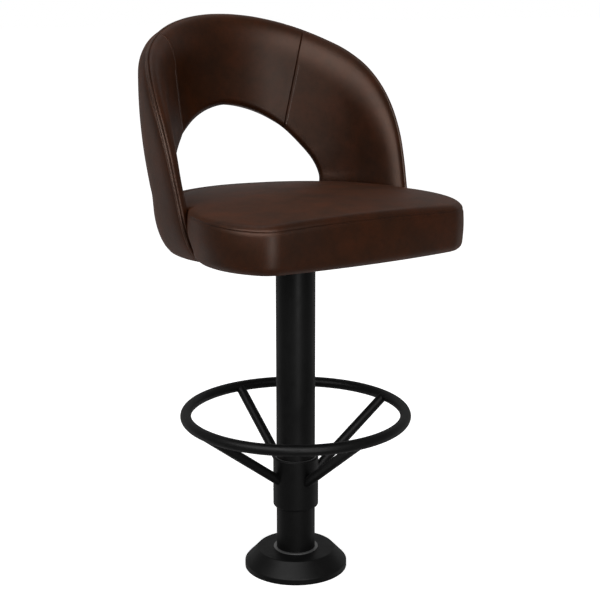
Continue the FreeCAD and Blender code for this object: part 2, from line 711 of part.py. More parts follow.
def facing_wire(s):
    w0 = s.width - FACING_W
    w1 = s.width
    mid_t = 0.5 * (FACING_FROM + FACING_TO)
    return Part.Wire([
        line(s.at(w0, FACING_FROM), s.at(w0, FACING_TO)),
        arc(s.at(w0, FACING_TO), s.at(w1, mid_t), s.at(w0, FACING_FROM))])


def welt_wire(s):
    k = math.sqrt(0.5) * WELT_R
    steps = ((0, 1), (-k, k), (-1, 0), (-k, -k), (0, -1), (k, -k), (1, 0), (k, k))
    points = []
    for dw, dt in steps:
        if abs(dw) == 1 or abs(dt) == 1:
            dw, dt = dw * WELT_R, dt * WELT_R
        points.append(s.at(-WELT_OUT + dw, WELT_DEPTH + dt))
    points.append(points[0])
    return Part.Wire([arc(points[2 * i], points[2 * i + 1], points[2 * i + 2]) for i in range(4)])


def band_wire(z, t0, t1, side_gap=0.0):
    """Level strip of the band behind the seat, between the two side panels."""
    radius, cy = base_circle(z)
    centre = V(0, cy, z)
    a = ARCH_FOOT_ANGLE - side_gap

    def at(t, degrees):
        return centre.add(polar(radius - t, 90.0 - degrees))

    return Part.Wire([
        arc(at(t0, -a), at(t0, 0), at(t0, a)),
        line(at(t0, a), at(t1, a)),
        arc(at(t1, a), at(t1, 0), at(t1, -a)),
        line(at(t1, -a), at(t0, -a))])


def shell_screw_places():
    z = BOARD_BOTTOM_Z + SHELL_SCREW_RISE
    radius, cy = base_circle(z - SHELL_SCREW_HEAD_R)
    places = []
    for a in SHELL_SCREW_ANGLES:
        out = polar(1.0, 90.0 - a)
        places.append((V(0, cy, z).add(out * (radius - COVER_BACK)), out * -1.0))
    return places


def side_pad(sections, grow=0.0):
    """Side pad with a narrow strip below it that runs under the seat at the rim."""
    strip = loft([pad_wire(s, True, grow) for s in sections[:PAD_STRIP_STEPS]])
    panel = loft([pad_wire(s, False, grow) for s in sections[PAD_STRIP_STEPS - 1:]])
    return panel.fuse(strip)


def back_shell():
    row = whole_row()
    lower = [row[i] for i in range(len(FOOT_STEPS) + 1, len(row) - len(FOOT_STEPS) - 1)]
    heights = [foot_z(s) for s in FOOT_STEPS]
    add("back_cover", loft([outer_wire(s) for s in row]))
    add("lower_back_cover", loft([band_wire(z, -BULGE_FOOT, COVER_SKIN, BAND_SIDE_GAP) for z in heights]))
    core = loft([core_wire(s) for s in row])
    rail = loft([band_wire(z, COVER_BACK, CORE_BACK, BAND_SIDE_GAP) for z in heights])
    places = shell_screw_places()
    gap = SHELL_SCREW_GAP
    holes = []
    screws = []
    for start, inward in places:
        head = Part.makeCone(SHELL_SCREW_HEAD_R, SHELL_SCREW_R, SHELL_SCREW_HEAD_T, start, inward)
        shank = Part.makeCylinder(SHELL_SCREW_R, SHELL_SCREW_L, start, inward)
        screws.append(head.fuse(shank).removeSplitter())
        wide_r = SHELL_SCREW_HEAD_R + gap
        head_hole = Part.makeCone(wide_r, SHELL_SCREW_R + gap, SHELL_SCREW_HEAD_T, start, inward)
        wide = Part.makeCylinder(wide_r, SHELL_SCREW_CLEAR, start, inward * -1.0)
        hole = Part.makeCylinder(SHELL_SCREW_R + gap, SHELL_SCREW_L + OVERCUT, start, inward)
        holes.append(hole.fuse(head_hole).fuse(wide))
    add("shell_core", cut_all(core, holes))
    add("lower_shell_rail", cut_all(rail, holes))
    add("shell_screws", Part.makeCompound(screws))
    add("pad_right", side_pad(SIDE))
    add("pad_left", side_pad([s.mirrored() for s in SIDE]))
    middle = [SIDE[-1]] + CENTRE + [s.mirrored() for s in reversed(CENTRE[:-1])] + [SIDE[-1].mirrored()]
    add("pad_centre", loft([pad_wire(s) for s in middle]))
    ends = (row[len(FOOT_STEPS)], row[len(row) - len(FOOT_STEPS) - 1])
    add("opening_facing", loft([facing_wire(s) for s in [ends[0]] + lower + [ends[1]]]))
    add("rim_piping", loft([welt_wire(s) for s in row]))
    lining = [band_wire(foot_z(s), PAD_FRONT, pad_depth(s / CURL_ANGLE, foot_z(s)), LINING_SIDE_GAP)
              for s in FOOT_STEPS[PAD_STRIP_STEPS - 1:]]
    add("lower_back_lining", loft(lining))
    return holes


# Seat
def meet(c1, r1, c2, r2, side):
    """Point at r1 from c1 and r2 from c2; side picks which of the two."""
    gap = c2.sub(c1)
    d = gap.Length
    a = (r1 * r1 - r2 * r2 + d * d) / (2.0 * d)
    h = math.sqrt(max(0.0, r1 * r1 - a * a))
    u = gap * (1.0 / d)
    return c1.add(u * a).add(V(-u.y, u.x, 0) * (side * h))


def right_meet(c1, r1, c2, r2):
    """Point at r1 from c1 and r2 from c2 on the right-hand side of the seat."""
    both = (meet(c1, r1, c2, r2, 1), meet(c1, r1, c2, r2, -1))
    return both[0] if both[0].x > both[1].x else both[1]


def toward(centre, other, radius):
    u = other.sub(centre)
    u.normalize()
    return centre.add(u * radius)


def arc_mid(centre, a, b, radius):
    u = a.sub(centre) * 0.5 + b.sub(centre) * 0.5
    u.normalize()
    return centre.add(u * radius)


def seat_plan(z, inset, rear_r, tuck=0.0):
    """Plan of the seat at one height.

    inset draws in the front and sides, rear_r is the round rear, and tuck pulls the side in towards
    the back while the front corner stays where it is.
    """
    front_c = V(0, SEAT_FRONT_R - SEAT_FRONT_Y, 0)
    side_c = V(SEAT_SIDE_X, SEAT_SIDE_Y, 0)
    rear_c = V(0, SHELL_CY, 0)
    front_r = SEAT_FRONT_R - inset
    side_r = SEAT_SIDE_R - inset
    corner_r = max(SEAT_CORNER_MIN, SEAT_CORNER_R - inset)
    notch_r = SEAT_NOTCH_R
    corner_c = right_meet(front_c, front_r - corner_r, side_c, side_r - corner_r)
    side_c = toward(side_c, corner_c, tuck)
    side_r = side_r - tuck
    notch_c = right_meet(side_c, side_r + notch_r, rear_c, rear_r + notch_r)
    p1 = toward(front_c, corner_c, front_r)
    p2 = toward(side_c, corner_c, side_r)
    p3 = toward(side_c, notch_c, side_r)
    p4 = toward(rear_c, notch_c, rear_r)
    front = V(0, front_c.y - front_r, 0)
    rear = V(0, rear_c.y + rear_r, 0)
    m12 = arc_mid(corner_c, p1, p2, corner_r)
    m23 = arc_mid(side_c, p2, p3, side_r)
    m34 = arc_mid(notch_c, p3, p4, notch_r)
    m4 = arc_mid(rear_c, p4, rear, rear_r)

    def lift(p, mirror=1):
        return V(mirror * p.x, p.y, z)

    edges = [arc(lift(p1, -1), lift(front), lift(p1)),
             arc(lift(p1), lift(m12), lift(p2)),
             arc(lift(p2), lift(m23), lift(p3)),
             arc(lift(p3), lift(m34), lift(p4)),
             arc(lift(p4), lift(m4), lift(rear)),
             arc(lift(rear), lift(m4, -1), lift(p4, -1)),
             arc(lift(p4, -1), lift(m34, -1), lift(p3, -1)),
             arc(lift(p3, -1), lift(m23, -1), lift(p2, -1)),
             arc(lift(p2, -1), lift(m12, -1), lift(p1, -1))]
    return Part.Wire(edges)


def seat(holes):
    inside_r = SHELL_R - PAD_DEPTH - PAD_CROWN - SEAT_REAR_GAP
    body = []
    for step in SEAT_BOTTOM_STEPS:
        a = math.radians(step)
        z = BOARD_BOTTOM_Z + SEAT_BOTTOM_ROUND * (1.0 - math.cos(a))
        inset = SEAT_BOTTOM_ROUND * (1.0 - math.sin(a))
        body.append(seat_plan(z, inset, inside_r - SEAT_REAR_TUCK - inset, SEAT_SIDE_TUCK))
    middle_z = 0.5 * (BOARD_TOP_Z + SEAT_CREASE_Z)
    body.append(seat_plan(middle_z, -SEAT_SIDE_BULGE, inside_r - SEAT_REAR_TUCK_MID,
                          SEAT_TUCK_MID_SHARE * SEAT_SIDE_TUCK))
    body.append(seat_plan(SEAT_CREASE_Z - SEAT_CREASE_ROOM, 0.0, inside_r))
    crease = seat_plan(SEAT_CREASE_Z, SEAT_CREASE_DEPTH, inside_r - SEAT_CREASE_DEPTH)
    body.append(crease)
    lower = loft(body)
    crown = [crease]
    for rise, inset in SEAT_CROWN_STEPS:
        crown.append(seat_plan(SEAT_CREASE_Z + rise, inset, inside_r - inset))
    dome = Part.makeSphere(SEAT_DOME_R, V(0, 0, 0), V(1, 0, 0))
    dome.rotate(V(0, 0, 0), V(1, 0, 0), 180)
    dome.translate(V(0, SEAT_DOME_Y, SEAT_TOP_Z - SEAT_DOME_R))
    upper = Part.makeLoft(crown, True, True).common(dome)
    board_r = base_circle(BOARD_BOTTOM_Z)[0] - CORE_BACK - LAYER_GAP
    board_top_r = base_circle(BOARD_TOP_Z)[0] - CORE_BACK - LAYER_GAP
    board_ends = ((BOARD_BOTTOM_Z, board_r), (BOARD_TOP_Z, board_top_r))
    board = Part.makeLoft([seat_plan(z, BOARD_INSET, r) for z, r in board_ends], True, True)
    wing = side_pad(SIDE[:len(FOOT_STEPS) + SEAT_WING_STEPS], SEAT_WING_GAP)
    wings = [wing, wing.mirror(V(0, 0, 0), V(1, 0, 0))]
    add("seat_cushion", cut_all(lower.fuse(upper).removeSplitter(), wings + [board]))
    below = BOARD_BOTTOM_Z - OVERCUT
    above = BOARD_TOP_Z + OVERCUT
    cuts = [cylinder(BOARD_HOLE_R, below, above)]
    for p in square_places():
        cuts.append(cylinder(TEE_BARREL_R, below, above, p.x, p.y))
        cuts.append(cylinder(TEE_FLANGE_R, BOARD_TOP_Z - TEE_FLANGE_T, above, p.x, p.y))
    notch_corner = V(BOARD_NOTCH_X, BOARD_NOTCH_Y0, BOARD_BOTTOM_Z - BOARD_T)
    notch = Part.makeBox(BOARD_NOTCH_W, BOARD_NOTCH_Y1 - BOARD_NOTCH_Y0, 3 * BOARD_T, notch_corner)
    notches = [notch, notch.mirror(V(0, 0, 0), V(1, 0, 0))]
    add("seat_board", cut_all(cut_all(cut_all(board, notches), cuts), holes))
    dust_plan = seat_plan(BOARD_BOTTOM_Z - DUST_T, BOARD_INSET + DUST_INSET, board_r - DUST_REAR_INSET)
    dust = Part.Face(dust_plan).extrude(V(0, 0, DUST_T))
    opening = rounded_square(DUST_HOLE_HALF, UPPER_CORNER_R, BOARD_BOTTOM_Z - BOARD_T, above)
    add("dust_cloth", cut_all(dust, [opening] + notches))


floor_base()
base_cover()
foot_ring()
swivel()
screw_holes = back_shell()
seat(screw_holes)

os.makedirs("parts", exist_ok=True)
for name, shape in parts.items():
    state = "valid" if shape.isValid() else "NOT VALID"
    print(name, len(shape.Solids), "solids", round(shape.Volume / 1000.0, 1), "cm3", state)
    shape.exportStep(os.path.join("parts", name + ".step"))
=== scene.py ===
import json
import math

import bpy
import numpy as np
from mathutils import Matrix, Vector


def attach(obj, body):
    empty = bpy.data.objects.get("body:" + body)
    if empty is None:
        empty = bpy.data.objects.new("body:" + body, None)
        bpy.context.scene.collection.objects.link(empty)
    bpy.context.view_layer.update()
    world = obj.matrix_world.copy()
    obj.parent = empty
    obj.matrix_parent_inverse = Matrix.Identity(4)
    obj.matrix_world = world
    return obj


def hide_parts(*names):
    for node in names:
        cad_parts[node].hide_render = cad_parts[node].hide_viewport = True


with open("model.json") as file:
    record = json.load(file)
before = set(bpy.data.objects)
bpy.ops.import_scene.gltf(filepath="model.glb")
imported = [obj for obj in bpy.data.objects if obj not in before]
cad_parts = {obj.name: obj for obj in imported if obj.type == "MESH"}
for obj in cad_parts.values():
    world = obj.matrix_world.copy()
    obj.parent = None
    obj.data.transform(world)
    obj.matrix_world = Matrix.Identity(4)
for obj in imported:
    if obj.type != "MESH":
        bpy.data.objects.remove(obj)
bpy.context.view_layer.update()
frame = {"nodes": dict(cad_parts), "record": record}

# Looks of the swivel bar stool: leather back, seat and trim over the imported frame, with studio and camera.
# Shell and seat sizes are in millimetres, as in the part's source, and make_mesh turns them into metres.
# Depths run inward from the shell's outer face, and widths down from the rim towards the opening.
MM = 0.001

# Back shell, the same lines as the CAD shell
SHELL_SEAT_Z = 742.0
SHELL_R = 257.0
SHELL_CY = 18.0
SHELL_UPPER_R = 261.0
SHELL_UPPER_CY = 30.0
SHELL_BLEND_H = 110.0
CURL_IN = 45.0
CURL_DOWN = 100.0
CURL_ANGLE = 66.0
RIM_FOOT_Y = -7.0
RIM_LEAN = 16.2
RIM_BEND_R = 325.0
RIM_TOP_SLOPE = 28.7
RIM_TOP_Z = 1071.0
RIM_FOOT_BEND = 0.0013
ARCH_HALF_W = 191.0
ARCH_TOP_Z = 896.0
ARCH_POWER = 1.85
ARCH_FOOT_RISE = 6.0
SECTION_SAG = 4.0
SEAM_RIM_ANGLE = 40.0
SEAM_ARCH_X = 136.0
FOOT_STEPS = (66.0, 57.0, 48.0, 39.0, 28.0, 16.0, 5.0)
FAN_STEPS = ((0.162, 0.09), (0.332, 0.20), (0.494, 0.32), (0.640, 0.44), (0.765, 0.56), (0.873, 0.70),
             (0.958, 0.85))
CENTRE_STEPS = (0.68, 0.34, 0.0)
BULGE_FOOT = 1.0
BULGE_TOP = 23.0
BULGE_FULL_Z = 950.0
BULGE_POWER = 2.2

# Stations along the back
STATION_STEP = 6.0
FOOT_STATION_STEP = 5.0
SEAM_CLEAR = 8.0
SEAM_NEAR = (-9, -6, -4.2, -3, -2.2, -1.5, -0.9, -0.4, 0, 0.4, 0.9, 1.5, 2.2, 3, 4.2, 6, 9)

# Outer leather panel
ROLL_SHARE = 0.45
PANEL_POINTS = 46
PANEL_INNER_POINTS = 9
PANEL_BACK = 4.0
PANEL_START = -1.0
PANEL_LIP_DEPTH = 0.6
PANEL_ROLL = 26.0
PANEL_EDGE_ROLL = 15.0
PANEL_EDGE_POWER = 2.2
PANEL_EDGE_GAP = 0.6
PANEL_CROWN = 1.5

# Inner pads
PAD_BACK = 13.8
PAD_DEPTH = 34.5
PAD_UPPER_DEPTH = 39.0
PAD_FOOT_DEPTH = 17.0
PAD_ROLL = 60.0
PAD_ROLL_POWER = 2.15
PAD_LIP_W = -3.4
PAD_LIP_DEPTH = 5.2
PAD_NOSE_OUT = 6.8
PAD_NOSE_DEPTH = 9.5
PAD_NOSE_FOOT_LESS = 0.35
PAD_EDGE_ROLL = 14.0
PAD_EDGE_ROLL_LEAST = 0.5
PAD_EDGE_TURN = 55.0
PAD_EDGE_GAP = 0.1
PAD_CORNER_DROPS = (0.4, 3.0)
PAD_SHUT_RATE = 6.0
PAD_CROWN = 2.0
PAD_UPPER_FROM_Z = 755.0
PAD_UPPER_TO_Z = 850.0
PAD_STRIP_W = 34.0
PAD_STRIP_STEP = 39.0
FOOT_STRIP_SHORT = 6.0
PAD_INNER_W = 9.2
PAD_INNER_SHORT = 4.0
PAD_INNER_POINTS = 8
PAD_TUCK_W = 3.4
PAD_TUCK_DEPTH = 4.4

# Piping, whose radius waves a little along its length
PIPING_R = 3.1
PIPING_OUT = 3.7
PIPING_DEPTH = 2.2
PIPING_POINTS = 14
PIPING_LONG_WAVE = 0.02
PIPING_LONG_PITCH = 17.0
PIPING_SHORT_WAVE = 0.015
PIPING_SHORT_PITCH = 7.3
PIPING_SHORT_START = 1.0

# Seams and stitches
SEAM_FULL_DEPTH = 12.0
SEAM_DEPTH = 1.6
SEAM_WIDTH = 0.9
SEAM_PILLOW = 1.4
SEAM_PILLOW_REACH = 13.0
STITCH_OFFSET = 7.0
STITCH_PITCH = 4.0
STITCH_LENGTH = 2.9
STITCH_R = 0.38
STITCH_SIDES = 6
STITCH_LIFT = 0.1
STITCH_RINGS = ((-0.05, 0.35), (0.12, 0.85), (0.5, 1.0), (0.88, 0.85), (1.05, 0.35))

# Leather round the rail behind the seat, its steps given as angles down the shell's curl
WRAP_END_GAP = 0.1
WRAP_STATIONS = 74
WRAP_OUTER_POINTS = 16
WRAP_OUTER_TOP = 9.0
WRAP_TOP_Z = 735.5
WRAP_TOP_POINTS = 13
WRAP_TOP_DROP = 8.0
WRAP_TOP_RISE = 9.0
WRAP_TOP_POWER = 0.6
WRAP_FRONT_STEPS = (12.0, 20.0, 30.0, 39.0)
WRAP_INNER_STEPS = (39.0, 20.0, 6.5)
WRAP_PANEL_STEPS = (6.5, 20.0, 40.0, CURL_ANGLE)

# Seat
SEAT_FRONT_Y = 255.0
SEAT_FRONT_R = 1500.0
SEAT_CORNER_R = 58.0
SEAT_SIDE_R = 180.5
SEAT_SIDE_X = 84.0
SEAT_SIDE_Y = -108.5
SEAT_SIDE_TUCK = 14.0
SEAT_TUCK_TOP_Z = 712.0
SEAT_TUCK_H = 42.0
SEAT_REAR_TUCK = 9.0
SEAT_WING_PRESS = 7.0
SEAT_WING_START = 2.0
SEAT_WING_MEET = 10.0
SEAT_WING_PRESS_RATE = 3.0
SEAT_WING_POINTS = 140
SEAT_HOLD_BEHIND = 12.0
SEAT_HOLD_ANGLE = 10.0
SEAT_REAR_GAP = 0.9
SEAT_FRONT_STATIONS = 32
SEAT_CORNER_STATIONS = 20
SEAT_SIDE_STATIONS = 28
SEAT_REAR_STATIONS = 56
SEAT_UNDER_Z = 662.0
SEAT_UNDER_INSET = 30.0
SEAT_UNDER_SHARES = (0.35, 0.7, 1.0)
SEAT_LIP_INSET = 23.0
SEAT_LIP_RISE = 0.2
SEAT_BOTTOM_Z = 657.2
SEAT_BOTTOM_ROUND = 17.0
SEAT_BOTTOM_STEPS = 6
SEAT_BOXING_SHARES = (0.1, 0.22, 0.36, 0.5, 0.64, 0.76, 0.86, 0.93, 0.965, 0.985)
SEAT_BOXING_SWELL = 1.6
SEAT_BOXING_DRAW = 1.4
SEAT_BOXING_DRAW_FROM = 0.93
SEAT_REAR_TUCK_POWER = 1.5
SEAT_TOP_Z = 760.0
SEAT_DOME_R = 2270.0
SEAT_DOME_Y = -60.0
SEAT_CREASE_Z = 740.5
SEAT_CREASE_DROP = 7.0
SEAT_CREASE_CORNER = 223.0
SEAT_CREASE_SPREAD = 75.0
SEAT_CREASE_INSET = 2.2
SEAT_WELT_STEPS = ((1.3, 0.6), (0.9, 1.2), (1.1, 2.0))
SEAT_EDGE_INSETS = (1.7, 2.8, 4.2, 6.0, 8.2, 11.0, 15.0, 20.0, 26.0)
SEAT_EDGE_START = 0.8
SEAT_EDGE_REACH = 12.0
SEAT_EDGE_POWER = 2.2
SEAT_EDGE_RISE = 2.6
SEAT_HOLD_DROP = 3.0
SEAT_CROWN_SHARES = (0.93, 0.85, 0.76, 0.66, 0.55, 0.44, 0.33, 0.22, 0.11)
SEAT_CROWN_SHIFT = 0.2
SEAT_REAR_DROP = 10.0
SEAT_REAR_DROP_FROM_Y = 40.0
SEAT_REAR_DROP_LENGTH = 150.0

# Leather and paint: dark, middle and warm patches, roughness from and to, and how matt they go edge on
BROWN_TONES = ((0.019, 0.0052, 0.0010), (0.026, 0.0070, 0.0014), (0.036, 0.0088, 0.0018))
BROWN_ROUGH = (0.37, 0.45)
TRIM_TONES = ((0.032, 0.0145, 0.0085), (0.042, 0.0190, 0.0115), (0.050, 0.0220, 0.0130))
TRIM_ROUGH = (0.30, 0.38)
LEATHER_SPECULAR = 0.055
LEATHER_SPECULAR_TINT = (1.0, 0.88, 0.80, 1.0)
COAT_TONES = ((0.0022, 0.0022, 0.0022), (0.0034, 0.0034, 0.0034))
COAT_ROUGH = (0.40, 0.50)
COAT_SPECULAR = 0.035
EDGE_MATT_FROM = 0.5
EDGE_MATT_TO = 0.8
EDGE_MATT_ROUGH = 0.68

# Studio, in metres
FLOOR_HALF = 30.0
FLOOR_GLOW_NEAR = 0.82
FLOOR_GLOW_DIM = 0.35
FLOOR_GLOW_FULL = 1.3
WORLD_LEVEL = 0.10
CAMERA_TURN = 32.96
CAMERA_DISTANCE = 2.49
CAMERA_HEIGHT = 1.1401
CAMERA_PITCH = 13.43
CAMERA_YAW = 0.195
CAMERA_LENS = 80.0
CAMERA_SENSOR = 36.0
# Each lamp: name, place as from_view takes it, target, width, height and watts
LAMPS = (
    ("key_light", (1.3, -2.3, 1.9), (0.0, 0.0, 0.7), 1.2, 1.2, 32.0),
    ("top_light", (-0.4, 0.2, 2.9), (0.0, 0.0, 0.7), 1.4, 1.2, 22.0),
    ("left_light", (-1.4, -1.9, 2.05), (0.0, 0.0, 0.9), 2.0, 2.2, 22.0),
)
# Lamps that only gloss shows, for the sheen on the back and on the column
GLOSS_LAMPS = (
    ("front_gloss", (-0.75, -2.4, 2.42), (0.0, 0.0, 0.95), 4.6, 2.1, 640.0),
    ("strip_gloss", (0.62, -2.3, 0.4), (0.0, 0.0, 0.4), 0.35, 0.7, 60.0),
)


def rim_profile():
    """Start, end and centre of the bend in the rim's side view, as (y, z)."""
    low = np.array([math.sin(math.radians(RIM_LEAN)), math.cos(math.radians(RIM_LEAN))])
    high = np.array([math.cos(math.radians(RIM_TOP_SLOPE)), math.sin(math.radians(RIM_TOP_SLOPE))])
    foot = np.array([RIM_FOOT_Y, SHELL_SEAT_Z])
    crest = np.array([SHELL_UPPER_CY + SHELL_UPPER_R, RIM_TOP_Z])
    gap = crest - foot
    cross = low[0] * high[1] - low[1] * high[0]
    corner = foot + low * ((gap[0] * high[1] - gap[1] * high[0]) / cross)
    back = RIM_BEND_R * math.tan(0.5 * math.radians(90.0 - RIM_LEAN - RIM_TOP_SLOPE))
    start = corner - low * back
    return start, corner + high * back, start + np.array([low[1], -low[0]]) * RIM_BEND_R


RIM_START, RIM_END, RIM_CENTRE = rim_profile()


def base_circle(z):
    """Radius and centre's y of the shell's round plan at a height."""
    if z >= SHELL_SEAT_Z:
        u = min(1.0, (z - SHELL_SEAT_Z) / SHELL_BLEND_H)
        ease = u * (2.0 - u)
        return SHELL_R + ease * (SHELL_UPPER_R - SHELL_R), SHELL_CY + ease * (SHELL_UPPER_CY - SHELL_CY)
    a = math.asin(min(1.0, (SHELL_SEAT_Z - z) / CURL_DOWN))
    return SHELL_R - CURL_IN * (1.0 - math.cos(a)), SHELL_CY


def rim_y(z):
    if z <= RIM_START[1]:
        drop = max(0.0, SHELL_SEAT_Z - z)
        straight = RIM_FOOT_Y + (z - SHELL_SEAT_Z) * math.tan(math.radians(RIM_LEAN))
        return straight + RIM_FOOT_BEND * drop * drop
    if z < RIM_END[1]:
        return RIM_CENTRE[0] - math.sqrt(RIM_BEND_R ** 2 - (z - RIM_CENTRE[1]) ** 2)
    return RIM_END[0] + (z - RIM_END[1]) / math.tan(math.radians(RIM_TOP_SLOPE))


def rim_z(y):
    if y >= RIM_END[0]:
        return RIM_END[1] + (y - RIM_END[0]) * math.tan(math.radians(RIM_TOP_SLOPE))
    return RIM_CENTRE[1] + math.sqrt(RIM_BEND_R ** 2 - (RIM_CENTRE[0] - y) ** 2)


def rim_at_height(z):
    radius, cy = base_circle(z)
    y = rim_y(z)
    return np.array([math.sqrt(radius ** 2 - (y - cy) ** 2), y, z])


def rim_at_angle(degrees):
    a = math.radians(degrees)
    y = SHELL_UPPER_CY + SHELL_UPPER_R * math.cos(a)
    return np.array([SHELL_UPPER_R * math.sin(a), y, rim_z(y)])


def arch_at_x(x):
    share = max(0.0, 1.0 - (x / ARCH_HALF_W) ** ARCH_POWER)
    z = SHELL_SEAT_Z + (ARCH_TOP_Z - SHELL_SEAT_Z) * share ** (1.0 / ARCH_POWER)
    radius, cy = base_circle(z)
    return np.array([x, cy + math.sqrt(radius ** 2 - x ** 2), z])


def arch_at_height(z):
    share = 1.0 - ((z - SHELL_SEAT_Z) / (ARCH_TOP_Z - SHELL_SEAT_Z)) ** ARCH_POWER
    return arch_at_x(ARCH_HALF_W * share ** (1.0 / ARCH_POWER))


ARCH_FOOT_ANGLE = math.degrees(math.asin(ARCH_HALF_W / SHELL_R))


def foot_z(step):
    return SHELL_SEAT_Z - CURL_DOWN * math.sin(math.radians(step))


def mid_point(rim, arch, sag):
    """Point between the rim and the opening, pushed out from the shell's axis by the sag."""
    mid = 0.5 * (rim + arch)
    radius, cy = base_circle(mid[2])
    out = np.array([mid[0], mid[1] - cy, 0.0])
    out /= np.linalg.norm(out)
    return np.array([0.0, cy, mid[2]]) + out * (radius + sag)


def shell_rows():
    """Sections from one foot over the crest to the other: rim, mid and arch points, bulge, foot and edge."""
    half = []
    for step in FOOT_STEPS:
        z = foot_z(step)
        radius, cy = base_circle(z)
        a = math.radians(ARCH_FOOT_ANGLE)
        arch = np.array([radius * math.sin(a), cy + radius * math.cos(a), z])
        half.append((rim_at_height(z), arch, 0.0, step / CURL_ANGLE, 0.0))
    z0 = SHELL_SEAT_Z + ARCH_FOOT_RISE
    seam_arch = arch_at_x(SEAM_ARCH_X)
    seam_rim = rim_at_angle(SEAM_RIM_ANGLE)
    half.append((rim_at_height(z0), arch_at_height(z0), 0.0, 0.0, 1.0))
    for rim_share, share in FAN_STEPS:
        rim = rim_at_height(SHELL_SEAT_Z + rim_share * (seam_rim[2] - SHELL_SEAT_Z))
        arch = arch_at_height(z0 + share * (seam_arch[2] - z0))
        half.append((rim, arch, SECTION_SAG * share, 0.0, 1.0))
    half.append((seam_rim, seam_arch, SECTION_SAG, 0.0, 1.0))
    for s in CENTRE_STEPS:
        half.append((rim_at_angle(s * SEAM_RIM_ANGLE), arch_at_x(s * SEAM_ARCH_X), SECTION_SAG, 0.0, 1.0))
    seam_index = len(FOOT_STEPS) + 1 + len(FAN_STEPS)
    rows = []
    for rim, arch, sag, foot, edge in half:
        mid = mid_point(rim, arch, sag)
        level = min(1.0, max(0.0, (mid[2] - SHELL_SEAT_Z) / (BULGE_FULL_Z - SHELL_SEAT_Z)))
        bulge = BULGE_FOOT + level ** BULGE_POWER * (BULGE_TOP - BULGE_FOOT)
        rows.append(np.concatenate([rim, mid, arch, [bulge, foot, edge]]))
    flip = np.array([-1, 1, 1, -1, 1, 1, -1, 1, 1, 1, 1, 1], float)
    rows = rows + [r * flip for r in reversed(rows[:-1])]
    return np.array(rows), seam_index


def hermite(knots, values, at):
    """Smooth curve through rows of values at uneven knots."""
    slope = np.diff(values, axis=0) / np.diff(knots)[:, None]
    h = np.diff(knots)
    tangent = np.empty_like(values)
    tangent[0] = slope[0]
    tangent[-1] = slope[-1]
    tangent[1:-1] = (slope[:-1] * h[1:, None] + slope[1:] * h[:-1, None]) / (h[1:] + h[:-1])[:, None]
    i = np.clip(np.searchsorted(knots, at, side="right") - 1, 0, len(knots) - 2)
    s = ((at - knots[i]) / h[i])[:, None]
    hi = h[i][:, None]
    return ((1 + 2 * s) * (1 - s) ** 2 * values[i] + s * (1 - s) ** 2 * hi * tangent[i]
            + s * s * (3 - 2 * s) * values[i + 1] + s * s * (s - 1) * hi * tangent[i + 1])


class Ribbon:
    """Sections of the back at chosen stations u, in millimetres along its middle line."""

    def __init__(self, rows, knots, u):
        data = hermite(knots, rows, u)
        self.u = u
        p, m, q = data[:, 0:3], data[:, 3:6], data[:, 6:9]
        self.bulge = data[:, 9]
        self.foot = np.clip(data[:, 10], 0.0, 1.0)
        self.edge = np.clip(data[:, 11], 0.0, 1.0)
        a = p - q
        b = m - q
        n = np.cross(a, b)
        centre = q + np.cross((a * a).sum(1)[:, None] * b - (b * b).sum(1)[:, None] * a, n) / (
            2.0 * (n * n).sum(1)[:, None])
        self.centre = centre
        self.radius = np.linalg.norm(p - centre, axis=1)
        self.e1 = (p - centre) / self.radius[:, None]
        to_q = (q - centre) / self.radius[:, None]
        dot = (self.e1 * to_q).sum(1)
        self.width = self.radius * np.arccos(np.clip(dot, -1, 1))
        e2 = to_q - self.e1 * dot[:, None]
        self.e2 = e2 / np.linalg.norm(e2, axis=1)[:, None]
        self.mid_z = m[:, 2]

    def at(self, w, t):
        """Points [station, place, xyz] for depths t at widths w, both [station, place]."""
        a = (w / self.radius[:, None])[:, :, None]
        out = self.e1[:, None, :] * np.cos(a) + self.e2[:, None, :] * np.sin(a)
        return self.centre[:, None, :] + out * (self.radius[:, None] - t)[:, :, None]


ROWS, SEAM_INDEX = shell_rows()
KNOTS = np.concatenate([[0.0], np.cumsum(np.linalg.norm(np.diff(
    0.5 * (ROWS[:, 0:3] + ROWS[:, 3:6]), axis=0), axis=1))])
SEAM_U = (KNOTS[SEAM_INDEX], KNOTS[len(ROWS) - 1 - SEAM_INDEX])
STRIP_U = (KNOTS[FOOT_STEPS.index(PAD_STRIP_STEP)], KNOTS[len(ROWS) - 1 - FOOT_STEPS.index(PAD_STRIP_STEP)])


def stations(start, end, step, seams=()):
    """Even stations with a finer run each side of a seam."""
    count = max(2, int(round((end - start) / step)) + 1)
    u = list(np.linspace(start, end, count))
    for s in seams:
        near = s + np.array(SEAM_NEAR)
        u = [x for x in u if abs(x - s) > SEAM_CLEAR] + [x for x in near if start <= x <= end]
    return np.array(sorted(u))


def quarter(share, power=2.0):
    """Rise of a rolled edge: 0 at its start with an upright tangent, 1 where it meets the flat."""
    s = np.clip(1.0 - share, 0.0, 1.0)
    return (1.0 - s ** power) ** (1.0 / power)


def spread(count, low_power=1.8):
    """Shares from 0 to 1 that crowd towards both ends."""
    s = np.linspace(0.0, 1.0, count)
    left = 0.5 * (2 * np.minimum(s, 0.5)) ** low_power
    right = 1.0 - 0.5 * (2 * np.minimum(1.0 - s, 0.5)) ** low_power
    return np.where(s < 0.5, left, right)


